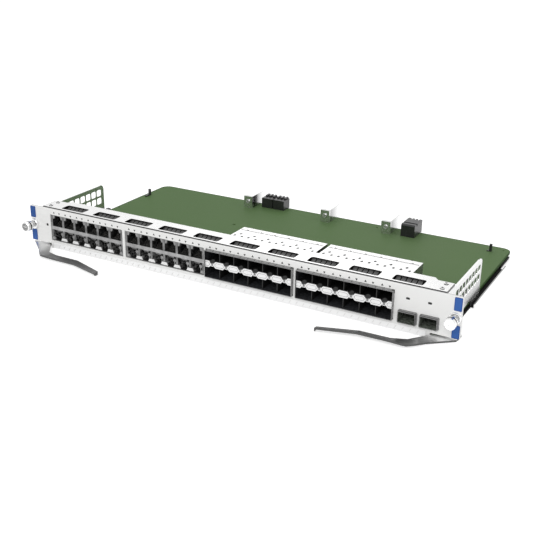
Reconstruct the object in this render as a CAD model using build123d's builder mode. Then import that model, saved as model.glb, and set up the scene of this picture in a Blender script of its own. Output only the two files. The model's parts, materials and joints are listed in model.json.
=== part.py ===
from build123d import *
import os
from math import cos, sin, radians

os.makedirs("parts", exist_ok=True)

# Frame: x runs along the panel, y runs back from the panel's rear face, z is up.
# The origin is midway between the two captive screws, on the panel's rear face.

# Jack and cage blocks, from which the panel's width follows
jack_columns = 6
jack_pitch = 13.97
jack_end = 1.29
cage_columns = 6
cage_pitch = 14.25
cage_end = 0.55
single_opening_width = 16.0
left_margin = 24.9
right_margin = 17.2
jack_block_gap = 2.8
jack_cage_gap = 1.9
cage_block_gap = 2.9
cage_single_gap = 3.9
single_gap = 2.0
jack_opening_width = jack_columns * jack_pitch + 2 * jack_end
cage_opening_width = cage_columns * cage_pitch + 2 * cage_end

# Front panel
panel_width = (left_margin + 2 * jack_opening_width + jack_block_gap + jack_cage_gap + 2 * cage_opening_width
               + cage_block_gap + cage_single_gap + 2 * single_opening_width + single_gap + right_margin)
panel_height = 40.0
view_hole_inset = 20.7
view_hole_z = 1.2
view_hole_radius = 1.4
panel_thickness = 2.0
panel_top = 18.0
panel_bottom = panel_top - panel_height
panel_front = -panel_thickness
panel_mid_z = (panel_top + panel_bottom) / 2
panel_half = panel_width / 2
sheet = 1.0

# Stacked jack openings in the panel
first_jack = -panel_half + left_margin + jack_opening_width / 2
jack_block_centres = [first_jack, first_jack + jack_opening_width + jack_block_gap]
jack_opening_low = -14.0
jack_opening_high = 12.4

# Stacked module cage openings in the panel
first_cage = jack_block_centres[1] + jack_opening_width / 2 + jack_cage_gap + cage_opening_width / 2
cage_block_centres = [first_cage, first_cage + cage_opening_width + cage_block_gap]
cage_opening_low = -13.7
cage_opening_high = 12.4

# Single module cage openings in the panel
second_single = panel_half - right_margin - single_opening_width / 2
single_centres = [second_single - single_opening_width - single_gap, second_single]
single_opening_low = -14.1
single_opening_high = -3.0
single_opening_corner = 1.3
opening_clearance = 0.3

# Circuit board
board_top = -16.0
board_thickness = 2.0
board_bottom = board_top - board_thickness
board_left = -panel_half + 11.4
board_right = panel_half - 14.2
board_front = 0.5
board_depth = 208.9
board_rear = board_front + board_depth
board_corner = 9.0
board_relief_width = 7.5
board_relief_depth = 12.0

# Base tray
tray_half = panel_half - 8.8
tray_front_half = tray_half - 3.5
tray_rear = 167.0
tray_floor_top = panel_bottom + sheet
rail_front = 68.0
rail_height = 3.8
rail_top = tray_floor_top + rail_height
ear_half = panel_half - 3.3
ear_depth = 13.0
lip_half = panel_half - 27.8
lip_height = 2.6
lip_top = tray_floor_top + lip_height
sheet_thickness = 0.4

# Top plate and its slots
plate_top = 18.5
plate_bottom = plate_top - sheet
plate_half = panel_half - 14.0
plate_front = 1.0
plate_rear = 24.5
plate_step = 20.0
plate_step_half = panel_half - 27.8
slot_count = 10
slot_pitch = 37.58
slot_length = 26.0
slot_width = 11.0
slot_centre_y = 8.8
slot_corner = 2.0
fold_depth = 2.5
strip_fingers = 5
strip_finger_pitch = 4.3
strip_finger_gap = 0.8
strip_length = 22.4
strip_sheet = 0.3
strip_dip = 1.5
strip_edge = 0.6
strip_flat = 2.2
plate_screw_x = plate_half - 5.8
plate_screw_rows = [6.0, 16.0]
plate_screw_radius = 1.25
plate_screw_head_radius = 1.9
plate_screw_head_height = 0.7

# Side brackets
bracket_outer = panel_half - 12.9
bracket_inner = bracket_outer - sheet
bracket_rear = 93.0
bracket_front_top = plate_bottom
bracket_top = bracket_front_top - 1.5
bracket_step = 21.5
bracket_corner = 5.0
bracket_fold = 1.7
bracket_tab_depth = 13.4
bracket_hole = 6.7
bracket_hole_corner = 1.4
bracket_hole_pitch = 8.6
bracket_hole_rear = 85.0
bracket_row_heights = [8.3, -0.4]
bracket_row_counts = [8, 7]
bracket_cut_front = 30.0
bracket_cut_rear = 69.0
bracket_cut_top = -14.0
bracket_cut_slope = 3.0
skirt_low = -20.2
foot_depth = 9.4
foot_width = 8.6
foot_centres = [75.0, 88.0]
foot_screw_x = bracket_outer - 5.4
rivet_radius = 1.6
rivet_rows = [-6.0, 9.0]
rivet_y = 6.0

# Screws and standoffs that hold the board
screw_radius = 1.5
screw_clearance = 0.1
screw_head_radius = 2.8
screw_head_height = 1.6
standoff_radius = 3.0
standoff_tail_radius = 2.0
mid_standoffs = [[-66.2, 132.8], [128.4, 132.2]]
rear_standoffs = [[-150.0, 150.0], [150.0, 150.0]]
hole_inset = 2.9
board_holes = [[board_left + hole_inset, 116.5], [board_left + hole_inset, board_rear - 8.6],
               [64.9, board_rear - 8.5], [board_right - 6.6, board_rear - 7.2]]
board_hole_radius = 1.1

# Stacked jacks
jack_aperture = 11.7
jack_front = -1.5
jack_depth = 24.0
jack_port_depth = 13.0
jack_shell = 0.4
jack_bar = 3.4
latch_width = 6.4
latch_height = 3.5
seam = 0.05
contact_count = 8
contact_pitch = 1.02
contact_size = 0.3
contact_length = 6.5

# Stacked module cages
cage_front = -5.2
cage_setback = 2.3
cage_rear = 64.5
cage_shell = 0.4
cage_divider = 0.7
cage_band = 3.2
cage_band_depth = 46.0
cage_hole = 0.75
cage_hole_points = [[-0.7, 47.0], [3.7, 41.0], [-4.0, 41.5]]
window_half = 4.45
window_flat = 3.5
window_rise = 3.3
window_block = 2.6
window_depth = 1.0

# Single module cages and the collars round them
single_rear = 46.0
collar_front = -4.0
collar_wall = 0.5
collar_fit = 0.1

# Status lenses
lens_side = 2.2
lens_depth = 3.0
jack_lens_z = 14.6
cage_lens_z = 14.2
lens_offset = 3.2
oval_lens_z = 7.4
oval_lens_length = 3.4
oval_lens_height = 1.9

# End strips and lower spring gasket
strip_width = 6.2
strip_height = 11.2
strip_thickness = 0.4
strip_mid_z = 11.7
gasket_half = panel_half - 27.3
gasket_low = -21.4
gasket_high = -16.6
gasket_thickness = 0.4
finger_pitch = 6.3
finger_gap = 0.6
finger_slant = 1.6
finger_spine = 1.0

# Captive screws
captive_x = panel_half - 5.1
captive_travel = 3.5
ferrule_flange_radius = 5.0
ferrule_flange_height = 3.0
ferrule_neck_radius = 4.2
ferrule_bore = 3.5
ferrule_lip_bore = 1.8
ferrule_lip = 1.5
stud_radius = 2.0
stud_neck = 1.5
stud_reach = 3.2
knob_radius = 4.8
knob_length = 7.9
knob_groove = 1.0
knob_groove_width = 1.0
knob_disc = 3.4
washer_radius = 3.15
washer_thickness = 0.5
washer_bore = 2.3
spring_coil_radius = 2.72
spring_wire = 0.24

# Ejector levers
lever_slot_width = 24.0
lever_slot_top = -17.4
pivot_x = panel_half - 9.9
pivot_y = 4.3
lever_bottom = -20.0
lever_thickness = 1.5
lever_mid_z = lever_bottom + lever_thickness / 2
lever_roll = 9.0
pin_radius = 2.5
pin_fit = 0.05
pin_shoulder = 4.0
pin_head_height = 0.8

# Rear guides, connectors and clips
guide_rights = [-76.4, 16.1, 84.1]
guide_width = 10.0
guide_height = 13.0
guide_front = board_rear - 21.4
guide_block_depth = 4.0
guide_blade = 1.2
guide_blade_rear = guide_front + 29.5
connector_teeth = 4
tooth_pitch = 3.6
tooth_gap = 1.4
contact_slots = 4
contact_slot_pitch = 2.8
contact_slot_width = 1.4
contact_slot_height = 6.5
fin_count = 3
fin_pitch = 4.2
fin_width = 2.2
fin_depth = 7.0
fin_height = 1.6
single_connector_x = 101.9
single_connector_width = 14.5
single_connector_depth = 22.0
single_connector_height = 13.0
single_connector_rear = board_rear + 2.6
paired_connector_x = [-63.2, -49.2]
paired_connector_width = 13.0
paired_connector_depth = 13.5
paired_connector_height = 10.6
paired_connector_rear = board_rear + 2.1
guide_screw_radius = 1.25
guide_screw_head = 2.3
guide_screw_z = -8.7

# Front panel with its openings, top fold and side tabs
with BuildPart() as front_panel:
    with BuildSketch(Plane.XZ):
        with Locations((0, panel_mid_z)):
            Rectangle(panel_width, panel_height)
    extrude(amount=panel_thickness)
    fillet(front_panel.edges().filter_by(Axis.Y), radius=1.2)
    front_edges = front_panel.faces().sort_by(Axis.Y)[0].outer_wire().edges()
    chamfer(front_edges, length=0.4)
    # Openings for the jack and cage blocks
    with BuildSketch(Plane.XZ):
        with Locations(*[(x, (jack_opening_low + jack_opening_high) / 2) for x in jack_block_centres]):
            RectangleRounded(jack_opening_width, jack_opening_high - jack_opening_low, 0.5)
        with Locations(*[(x, (cage_opening_low + cage_opening_high) / 2) for x in cage_block_centres]):
            RectangleRounded(cage_opening_width, cage_opening_high - cage_opening_low, 0.5)
        with Locations(*[(x, (single_opening_low + single_opening_high) / 2) for x in single_centres]):
            RectangleRounded(single_opening_width, single_opening_high - single_opening_low, single_opening_corner)
    extrude(amount=panel_thickness, mode=Mode.SUBTRACT)
    # Windows for the status lenses
    with BuildSketch(Plane.XZ):
        for block, pitch, level in [(jack_block_centres, jack_pitch, jack_lens_z),
                                    (cage_block_centres, cage_pitch, cage_lens_z)]:
            for centre in block:
                for column in range(jack_columns):
                    port_x = centre + (column - (jack_columns - 1) / 2) * pitch
                    with Locations((port_x - lens_offset, level)):
                        Triangle(a=lens_side, b=lens_side, c=lens_side)
                    with Locations(Location((port_x + lens_offset, level, 0), (0, 0, 180))):
                        Triangle(a=lens_side, b=lens_side, c=lens_side)
        with Locations(*[(x - 0.7, oval_lens_z) for x in single_centres]):
            SlotOverall(oval_lens_length, oval_lens_height)
        # Small view hole at the left end
        with Locations((-panel_half + view_hole_inset, view_hole_z)):
            Circle(view_hole_radius)
        # Holes for the captive screw ferrules
        with Locations((-captive_x, 0), (captive_x, 0)):
            Circle(ferrule_neck_radius)
        # Notches in the bottom edge for the levers
        with Locations((-panel_half, panel_bottom), (panel_half, panel_bottom)):
            Rectangle(2 * lever_slot_width, 2 * (lever_slot_top - panel_bottom))
    extrude(amount=panel_thickness, mode=Mode.SUBTRACT)
    # Fold under the top plate
    with BuildSketch(Plane.XY.offset(plate_bottom - sheet)):
        with Locations((0, fold_depth / 2)):
            Rectangle(2 * plate_step_half, fold_depth)
    extrude(amount=sheet)
    # Tabs inside the side brackets
    for side in (-1, 1):
        with BuildSketch(Plane.YZ.offset(side * bracket_inner)):
            with Locations((5.0, 1.5)):
                Rectangle(10.0, 25.0)
            with Locations(*[(rivet_y, z) for z in rivet_rows]):
                Circle(rivet_radius, mode=Mode.SUBTRACT)
        extrude(amount=-side * sheet)

# Vented plate over the front of the card
with BuildPart() as top_plate:
    with BuildSketch(Plane.XY.offset(plate_bottom)):
        with BuildLine():
            Polyline((-plate_half, plate_front), (plate_half, plate_front), (plate_half, plate_step),
                     (plate_step_half, plate_step), (plate_step_half - 4, plate_rear),
                     (-plate_step_half + 4, plate_rear), (-plate_step_half, plate_step),
                     (-plate_half, plate_step), close=True)
        make_face()
        with Locations((0, slot_centre_y)):
            with GridLocations(slot_pitch, 1, slot_count, 1):
                RectangleRounded(slot_length, slot_width, slot_corner, mode=Mode.SUBTRACT)
        with Locations(*[(side * plate_screw_x, y) for side in (-1, 1) for y in plate_screw_rows]):
            Circle(plate_screw_radius, mode=Mode.SUBTRACT)
    extrude(amount=sheet)
    rear_top = top_plate.edges().filter_by(Axis.X).group_by(Axis.Y)[-1].sort_by(Axis.Z)[-1]
    chamfer(rear_top, length=0.4)

# Spring strips under the slots: fingers between a front and a rear edge
strip_top = plate_bottom
strip_profile = [(-slot_width / 2 - strip_edge, 0), (-slot_width / 2, 0), (-strip_flat, -strip_dip),
                 (strip_flat, -strip_dip), (slot_width / 2, 0), (slot_width / 2 + strip_edge, 0)]
with BuildPart() as slot_spring:
    with BuildSketch(Plane.YZ):
        with BuildLine():
            Polyline(*[(slot_centre_y + y, strip_top + z) for y, z in strip_profile],
                     *[(slot_centre_y + y, strip_top + z - strip_sheet) for y, z in reversed(strip_profile)], close=True)
        make_face()
    extrude(amount=strip_length / 2, both=True)
    with BuildSketch(Plane.XY.offset(strip_top)):
        with Locations((0, slot_centre_y)):
            with GridLocations(strip_finger_pitch, 1, strip_fingers - 1, 1):
                Rectangle(strip_finger_gap, slot_width)
    extrude(amount=-2 * strip_dip, mode=Mode.SUBTRACT)
strip_shift = (strip_length - slot_length) / 2
with BuildPart() as slot_spring_strips:
    with Locations(*[((i - (slot_count - 1) / 2) * slot_pitch + strip_shift, 0, 0) for i in range(slot_count)]):
        add(slot_spring.part)

# Screws through the top plate into the bracket tabs
with BuildPart() as top_plate_screws:
    with BuildSketch(Plane.XY.offset(plate_top)):
        with Locations(*[(side * plate_screw_x, y) for side in (-1, 1) for y in plate_screw_rows]):
            Circle(plate_screw_head_radius)
    extrude(amount=plate_screw_head_height)
    chamfer(top_plate_screws.faces().sort_by(Axis.Z)[-4:].edges(), length=0.3)
    with BuildSketch(Plane.XY.offset(plate_top)):
        with Locations(*[(side * plate_screw_x, y) for side in (-1, 1) for y in plate_screw_rows]):
            Circle(plate_screw_radius)
    extrude(amount=-3.0)

# Perforated side bracket, standing on the board by two feet
with BuildPart() as right_side_bracket:
    with BuildSketch(Plane.YZ.offset(bracket_inner)):
        with BuildLine():
            Polyline((0.1, board_top), (bracket_cut_front, board_top),
                     (bracket_cut_front + bracket_cut_slope, bracket_cut_top),
                     (bracket_cut_rear - bracket_cut_slope, bracket_cut_top), (bracket_cut_rear, board_top),
                     (bracket_rear, board_top), (bracket_rear, bracket_top), (bracket_step, bracket_top),
                     (bracket_step, bracket_front_top), (0.1, bracket_front_top), close=True)
        make_face()
        for level, count in zip(bracket_row_heights, bracket_row_counts):
            with Locations(*[(bracket_hole_rear - bracket_hole_pitch * i, level) for i in range(count)]):
                RectangleRounded(bracket_hole, bracket_hole, bracket_hole_corner, mode=Mode.SUBTRACT)
        with Locations(*[(rivet_y, z) for z in rivet_rows]):
            Circle(rivet_radius, mode=Mode.SUBTRACT)
    extrude(amount=sheet)
    corner = right_side_bracket.edges().filter_by(Axis.X).group_by(Axis.Y)[-1].sort_by(Axis.Z)[-1]
    fillet(corner, radius=bracket_corner)
    # Tab under the top plate and the narrow fold behind it
    tab_length = bracket_step - 0.5
    with BuildSketch(Plane.XY.offset(bracket_front_top - sheet)):
        with Locations((bracket_outer - bracket_tab_depth / 2, 0.5 + tab_length / 2)):
            Rectangle(bracket_tab_depth, tab_length)
        with Locations(*[(plate_screw_x, y) for y in plate_screw_rows]):
            Circle(plate_screw_radius, mode=Mode.SUBTRACT)
    extrude(amount=sheet)
    fold_length = bracket_rear - bracket_corner - bracket_step - 2.0
    with BuildSketch(Plane.XY.offset(bracket_top - sheet)):
        with Locations((bracket_outer - bracket_fold / 2, bracket_step + fold_length / 2)):
            Rectangle(bracket_fold, fold_length)
    extrude(amount=sheet)
    # Feet on the board
    with BuildSketch(Plane.XY.offset(board_top)):
        with Locations(*[(bracket_outer - foot_depth / 2, y) for y in foot_centres]):
            Rectangle(foot_depth, foot_width)
        with Locations(*[(foot_screw_x, y) for y in foot_centres]):
            Circle(screw_radius + screw_clearance, mode=Mode.SUBTRACT)
    extrude(amount=sheet)

with BuildPart() as left_side_bracket:
    mirror(right_side_bracket.part, about=Plane.YZ)

# The right bracket also has a skirt, outside the edge of the board
with right_side_bracket:
    with BuildSketch(Plane.YZ.offset(bracket_inner)):
        with BuildLine():
            Polyline((bracket_cut_rear, board_top), (bracket_rear, board_top), (bracket_rear, skirt_low),
                     (bracket_cut_rear + 1.5, skirt_low), close=True)
        make_face()
    extrude(amount=sheet)

# Rivets that join the panel tabs to the brackets
with BuildPart() as bracket_rivets:
    for side in (-1, 1):
        with BuildSketch(Plane.YZ.offset(side * (bracket_inner - sheet))):
            with Locations(*[(rivet_y, z) for z in rivet_rows]):
                Circle(rivet_radius)
        extrude(amount=side * 2 * sheet)
        with BuildSketch(Plane.YZ.offset(side * bracket_outer)):
            with Locations(*[(rivet_y, z) for z in rivet_rows]):
                Circle(rivet_radius + 0.9)
        extrude(amount=side * 0.6)

# Positions of every standoff on the tray
foot_points = [(side * foot_screw_x, y) for side in (-1, 1) for y in foot_centres]
plain_points = [tuple(p) for p in mid_standoffs + rear_standoffs]

# Base tray with side rails, front lip and lever ears
with BuildPart() as base_tray:
    with BuildSketch(Plane.XY.offset(panel_bottom)):
        with Locations((0, tray_rear / 2)):
            Rectangle(2 * tray_front_half, tray_rear)
        with Locations((0, (rail_front + tray_rear) / 2)):
            Rectangle(2 * tray_half, tray_rear - rail_front)
        with Locations((0, ear_depth / 2)):
            Rectangle(2 * ear_half, ear_depth)
        with Locations(*foot_points, *plain_points):
            Circle(standoff_tail_radius, mode=Mode.SUBTRACT)
        with Locations((-pivot_x, pivot_y), (pivot_x, pivot_y)):
            Circle(pin_radius, mode=Mode.SUBTRACT)
    extrude(amount=sheet)
    with BuildSketch(Plane.XY.offset(tray_floor_top)):
        with Locations((0, sheet / 2)):
            Rectangle(2 * lip_half, sheet)
    extrude(amount=lip_top - tray_floor_top)
    with BuildSketch(Plane.XY.offset(tray_floor_top)):
        with Locations(((tray_half - sheet / 2), (rail_front + tray_rear) / 2),
                       (-(tray_half - sheet / 2), (rail_front + tray_rear) / 2)):
            Rectangle(sheet, tray_rear - rail_front)
    extrude(amount=rail_height)

# Insulating sheet on the tray floor
with BuildPart() as insulating_sheet:
    with BuildSketch(Plane.XY.offset(tray_floor_top)):
        with Locations((0, (ear_depth + tray_rear) / 2)):
            Rectangle(2 * tray_front_half - 1, tray_rear - ear_depth - 3)
        with Locations((0, (rail_front + tray_rear) / 2)):
            Rectangle(2 * tray_half - 2 * sheet - 1, tray_rear - rail_front - 3)
        with Locations(*foot_points, *plain_points):
            Circle(standoff_radius + 0.5, mode=Mode.SUBTRACT)
    extrude(amount=sheet_thickness)

# Standoffs pressed into the tray
with BuildPart() as board_standoffs:
    with BuildSketch(Plane.XY.offset(tray_floor_top)):
        with Locations(*foot_points, *plain_points):
            Circle(standoff_radius)
    extrude(amount=board_bottom - tray_floor_top)
    with BuildSketch(Plane.XY.offset(panel_bottom)):
        with Locations(*foot_points, *plain_points):
            Circle(standoff_tail_radius)
    extrude(amount=sheet)
    with BuildSketch(Plane.XY.offset(board_bottom)):
        with Locations(*foot_points, *plain_points):
            Circle(screw_radius)
    extrude(amount=-3.2, mode=Mode.SUBTRACT)

# Circuit board
with BuildPart() as circuit_board:
    board_mid_x = (board_left + board_right) / 2
    with BuildSketch(Plane.XY.offset(board_bottom)):
        with Locations((board_mid_x, (board_front + board_rear) / 2)):
            Rectangle(board_right - board_left, board_rear - board_front)
        with Locations((board_left, board_front), (board_right, board_front)):
            Rectangle(2 * board_relief_width, 2 * board_relief_depth, mode=Mode.SUBTRACT)
        with Locations(*foot_points):
            Circle(screw_radius + screw_clearance, mode=Mode.SUBTRACT)
        with Locations(*[tuple(p) for p in mid_standoffs]):
            Circle(screw_radius + screw_clearance, mode=Mode.SUBTRACT)
        with Locations(*[tuple(p) for p in board_holes]):
            Circle(board_hole_radius, mode=Mode.SUBTRACT)
    extrude(amount=board_thickness)
    fillet(circuit_board.edges().filter_by(Axis.Z).group_by(Axis.Y)[-1], radius=board_corner)

# Screws through the bracket feet into the standoffs
with BuildPart() as board_screws:
    foot_top = board_top + sheet
    with BuildSketch(Plane.XY.offset(foot_top)):
        with Locations(*foot_points):
            Circle(screw_head_radius)
    extrude(amount=screw_head_height)
    chamfer(board_screws.faces().sort_by(Axis.Z)[-4:].edges(), length=0.5)
    with BuildSketch(Plane.XY.offset(foot_top)):
        with Locations(*foot_points):
            Circle(screw_radius)
    extrude(amount=board_bottom - 2.5 - foot_top)

# Heights shared by the jack pieces
jack_low = jack_opening_low + opening_clearance
jack_high = jack_opening_high - opening_clearance
jack_in_low = jack_low + jack_shell
jack_in_high = jack_high - jack_shell
jack_mid = (jack_low + jack_high) / 2
jack_width = jack_opening_width - 2 * opening_clearance
jack_rear = jack_front + jack_depth
bar_low = jack_mid - jack_bar / 2
bar_high = jack_mid + jack_bar / 2
post_width = jack_pitch - jack_aperture
post_lines = [(i - jack_columns / 2 + 1) * jack_pitch for i in range(jack_columns - 1)]
end_post = (jack_width - 2 * jack_shell - (jack_columns - 1) * jack_pitch - jack_aperture) / 2
end_line = (jack_width - 2 * jack_shell - end_post) / 2
column_lines = [(i - (jack_columns - 1) / 2) * jack_pitch for i in range(jack_columns)]

# Metal shield of each stacked jack block: shell plates, front posts and middle bar
jack_shields = []
for centre in jack_block_centres:
    with BuildPart() as jack_shield:
        # Top and bottom plates
        for low in (jack_low, jack_in_high):
            with BuildSketch(Plane.XY.offset(low)):
                with Locations((centre, jack_front + jack_depth / 2)):
                    Rectangle(jack_width, jack_depth)
            extrude(amount=jack_shell)
        # Side plates with feet on the board
        for side in (-1, 1):
            wall_x = centre + side * (jack_width / 2 - jack_shell / 2)
            with BuildSketch(Plane.YZ.offset(wall_x)):
                with Locations((jack_front + jack_depth / 2, jack_mid)):
                    Rectangle(jack_depth, jack_in_high - jack_in_low - 2 * seam)
            extrude(amount=jack_shell / 2, both=True)
        # Rear plate
        with BuildSketch(Plane.XZ.offset(-jack_rear + jack_shell)):
            with Locations((centre, jack_mid)):
                Rectangle(jack_width - 2 * jack_shell - 2 * seam, jack_in_high - jack_in_low - 2 * seam)
        extrude(amount=-jack_shell)
        # Front posts, upper and lower row
        with BuildSketch(Plane.XZ.offset(-jack_front)):
            for low, high in ((jack_in_low, bar_low), (bar_high, jack_in_high)):
                with Locations(*[(centre + x, (low + high) / 2) for x in post_lines]):
                    Rectangle(post_width, high - low - 2 * seam)
                with Locations((centre - end_line, (low + high) / 2), (centre + end_line, (low + high) / 2)):
                    Rectangle(end_post - 2 * seam, high - low - 2 * seam)
            with Locations((centre, jack_mid)):
                Rectangle(jack_width - 2 * jack_shell - 2 * seam, jack_bar)
        extrude(amount=-jack_shell)
    jack_shields.append(jack_shield.part)

# Plastic housings behind the shields, one wall, band and corner block at a time
jack_housings = []
wall_front = jack_front + jack_shell
port_end = jack_front + jack_port_depth
for centre in jack_block_centres:
    with BuildPart() as jack_housing:
        with BuildSketch(Plane.XZ.offset(-wall_front)):
            with Locations(*[(centre + x, jack_mid) for x in post_lines]):
                Rectangle(post_width, jack_in_high - jack_in_low - 2 * seam)
            with Locations((centre - end_line, jack_mid), (centre + end_line, jack_mid)):
                Rectangle(end_post - 2 * seam, jack_in_high - jack_in_low - 2 * seam)
            with Locations(*[(centre + x, jack_mid) for x in column_lines]):
                Rectangle(jack_aperture - 2 * seam, jack_bar)
        extrude(amount=-(port_end - wall_front))
        # Corner blocks beside each latch notch
        corner_width = (jack_aperture - latch_width) / 2
        with BuildSketch(Plane.XZ.offset(-wall_front - 0.7)):
            for x in column_lines:
                for side in (-1, 1):
                    for level in (jack_in_high - latch_height / 2, jack_in_low + latch_height / 2):
                        with Locations((centre + x + side * (latch_width + corner_width) / 2, level)):
                            Rectangle(corner_width - 2 * seam, latch_height - 2 * seam)
        extrude(amount=-(port_end - wall_front - 0.7))
        # Rear body on the board
        with BuildSketch(Plane.XZ.offset(-port_end - seam)):
            with Locations((centre, jack_mid)):
                Rectangle(jack_width - 2 * jack_shell - 4 * seam, jack_in_high - jack_in_low - 2 * seam)
        extrude(amount=-(jack_rear - jack_shell - port_end - 2 * seam))
    jack_housings.append(jack_housing.part)

# Slanted light windows in the corners of the jacks
window_back = wall_front + 0.65
with BuildPart() as jack_light_windows:
    for centre in jack_block_centres:
        with BuildSketch(Plane.XZ.offset(-window_back)):
            for x in column_lines:
                for side in (-1, 1):
                    for outer, inward in ((jack_in_high - seam, -1), (jack_in_low + seam, 1)):
                        edge = centre + x + side * (jack_aperture / 2 - seam)
                        with BuildLine():
                            Polyline((edge, outer), (edge - side * (corner_width - 0.1), outer),
                                     (edge - side * (corner_width - 1.0), outer + inward * (latch_height - 0.2)),
                                     (edge, outer + inward * (latch_height - 0.2)), close=True)
                        make_face()
        extrude(amount=window_back - jack_front - 0.2)

# Pins below the jack blocks, holding them on the board
pin_columns = [(i - 1.5) * jack_width * 0.3 for i in range(4)]
pin_points = [(x, jack_front + y) for x in pin_columns for y in (6.5, jack_depth - 4.5)]
with BuildPart() as jack_pins:
    with BuildSketch(Plane.XY.offset(board_top)):
        for centre in jack_block_centres:
            with Locations(*[(centre + x, y) for x, y in pin_points]):
                Rectangle(3.0, 1.5)
    extrude(amount=jack_low - board_top)

# Spring contacts in the jacks
jack_contacts = []
for centre in jack_block_centres:
    with BuildPart() as jack_contact_set:
        with BuildSketch(Plane.XZ.offset(-port_end + contact_length)):
            for x in column_lines:
                for level in (bar_high + 1.1, bar_low - 1.1):
                    with Locations((centre + x, level)):
                        with GridLocations(contact_pitch, 1, contact_count, 1):
                            Rectangle(contact_size, contact_size)
        extrude(amount=-contact_length)
    jack_contacts.append(jack_contact_set.part)

# Heights shared by the cage pieces
cage_low = cage_opening_low + opening_clearance
cage_high = cage_opening_high - 2 * opening_clearance
cage_width = cage_opening_width - 2 * opening_clearance
cage_in_low = cage_low + cage_shell
cage_in_high = cage_high - cage_shell
cage_mid = (cage_low + cage_high) / 2
cage_length = cage_rear - cage_front
cage_in_width = cage_width - 2 * cage_shell
divider_lines = [(i - cage_columns / 2 + 1) * cage_pitch for i in range(cage_columns - 1)]
cage_columns_x = [(i - (cage_columns - 1) / 2) * cage_pitch for i in range(cage_columns)]

# Sheet shell of each stacked cage
cage_shells = []
for centre in cage_block_centres:
    with BuildPart() as cage_shell_part:
        # Bottom plate
        with BuildSketch(Plane.XY.offset(cage_low)):
            with Locations((centre, (cage_front + cage_rear) / 2)):
                Rectangle(cage_width, cage_length)
        extrude(amount=cage_shell)
        # Top plate with its vent holes
        with BuildSketch(Plane.XY.offset(cage_in_high)):
            with Locations((centre, (cage_front + cage_rear) / 2)):
                Rectangle(cage_width, cage_length)
            with Locations(*[(centre + x + dx, y) for x in cage_columns_x for dx, y in cage_hole_points]):
                Circle(cage_hole, mode=Mode.SUBTRACT)
        extrude(amount=cage_shell)
        # Side plates
        for side in (-1, 1):
            with BuildSketch(Plane.YZ.offset(centre + side * (cage_width / 2 - cage_shell / 2))):
                with Locations(((cage_front + cage_rear) / 2, cage_mid)):
                    Rectangle(cage_length, cage_in_high - cage_in_low - 2 * seam)
            extrude(amount=cage_shell / 2, both=True)
        # Rear plate
        with BuildSketch(Plane.XZ.offset(-cage_rear + cage_shell)):
            with Locations((centre, cage_mid)):
                Rectangle(cage_in_width - 2 * seam, cage_in_high - cage_in_low - 2 * seam)
        extrude(amount=-cage_shell)
    cage_shells.append(cage_shell_part.part)

# Dividers between the cage columns
cage_dividers = []
divider_front = cage_front + cage_setback
for centre in cage_block_centres:
    with BuildPart() as cage_divider_set:
        with BuildSketch(Plane.XZ.offset(-divider_front)):
            with Locations(*[(centre + x, cage_mid) for x in divider_lines]):
                Rectangle(cage_divider, cage_in_high - cage_in_low)
        extrude(amount=-(cage_rear - cage_shell - divider_front))
    cage_dividers.append(cage_divider_set.part)

# Light pipe bodies between the two rows of each cage
cage_bands = []
for centre in cage_block_centres:
    with BuildPart() as cage_band_set:
        with BuildSketch(Plane.XZ.offset(-divider_front)):
            with Locations(*[(centre + x, cage_mid) for x in cage_columns_x]):
                Rectangle(cage_pitch - cage_divider, cage_band)
        extrude(amount=-cage_band_depth)
    cage_bands.append(cage_band_set.part)

# Front bezel over each middle band: six sided windows at the dividers, small blocks between them
cage_bezels = []
for centre in cage_block_centres:
    with BuildPart() as cage_bezel:
        with BuildSketch(Plane.XZ.offset(-divider_front)):
            for x in divider_lines:
                with BuildLine():
                    Polyline((centre + x - window_half, cage_mid), (centre + x - window_flat, cage_mid + window_rise),
                             (centre + x + window_flat, cage_mid + window_rise), (centre + x + window_half, cage_mid),
                             (centre + x + window_flat, cage_mid - window_rise),
                             (centre + x - window_flat, cage_mid - window_rise), close=True)
                make_face()
            # Half windows at both ends
            for side in (-1, 1):
                edge = centre + side * cage_in_width / 2
                with BuildLine():
                    Polyline((edge, cage_mid - window_rise), (edge - side * window_flat, cage_mid - window_rise),
                             (edge - side * window_half, cage_mid), (edge - side * window_flat, cage_mid + window_rise),
                             (edge, cage_mid + window_rise), close=True)
                make_face()
            # Small block in the middle of each port
            with Locations(*[(centre + x, cage_mid) for x in cage_columns_x]):
                Rectangle(window_block, cage_band)
        extrude(amount=window_depth)
    cage_bezels.append(cage_bezel.part)

# Feet below the cages, and host connectors inside them
foot_rows = [8.0, cage_rear / 2, cage_rear - 6.5]
single_foot_rows = [8.0, single_rear - 6.0]
with BuildPart() as cage_feet:
    with BuildSketch(Plane.XY.offset(board_top)):
        for centre in cage_block_centres:
            with Locations(*[(centre + (i - 1.5) * cage_width * 0.32, y) for i in range(4) for y in foot_rows]):
                Rectangle(0.6, 2.0)
        with Locations(*[(x + side * 6.6, y) for x in single_centres for side in (-1, 1) for y in single_foot_rows]):
            Rectangle(0.6, 2.0)
    extrude(amount=cage_low - board_top)

with BuildPart() as host_connectors:
    for centre in cage_block_centres:
        with BuildSketch(Plane.XZ.offset(-cage_rear + cage_shell + 1.0)):
            with Locations(*[(centre + x, cage_mid) for x in cage_columns_x]):
                Rectangle(11.6, cage_in_high - cage_in_low - 2.0)
        extrude(amount=12.0)

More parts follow.
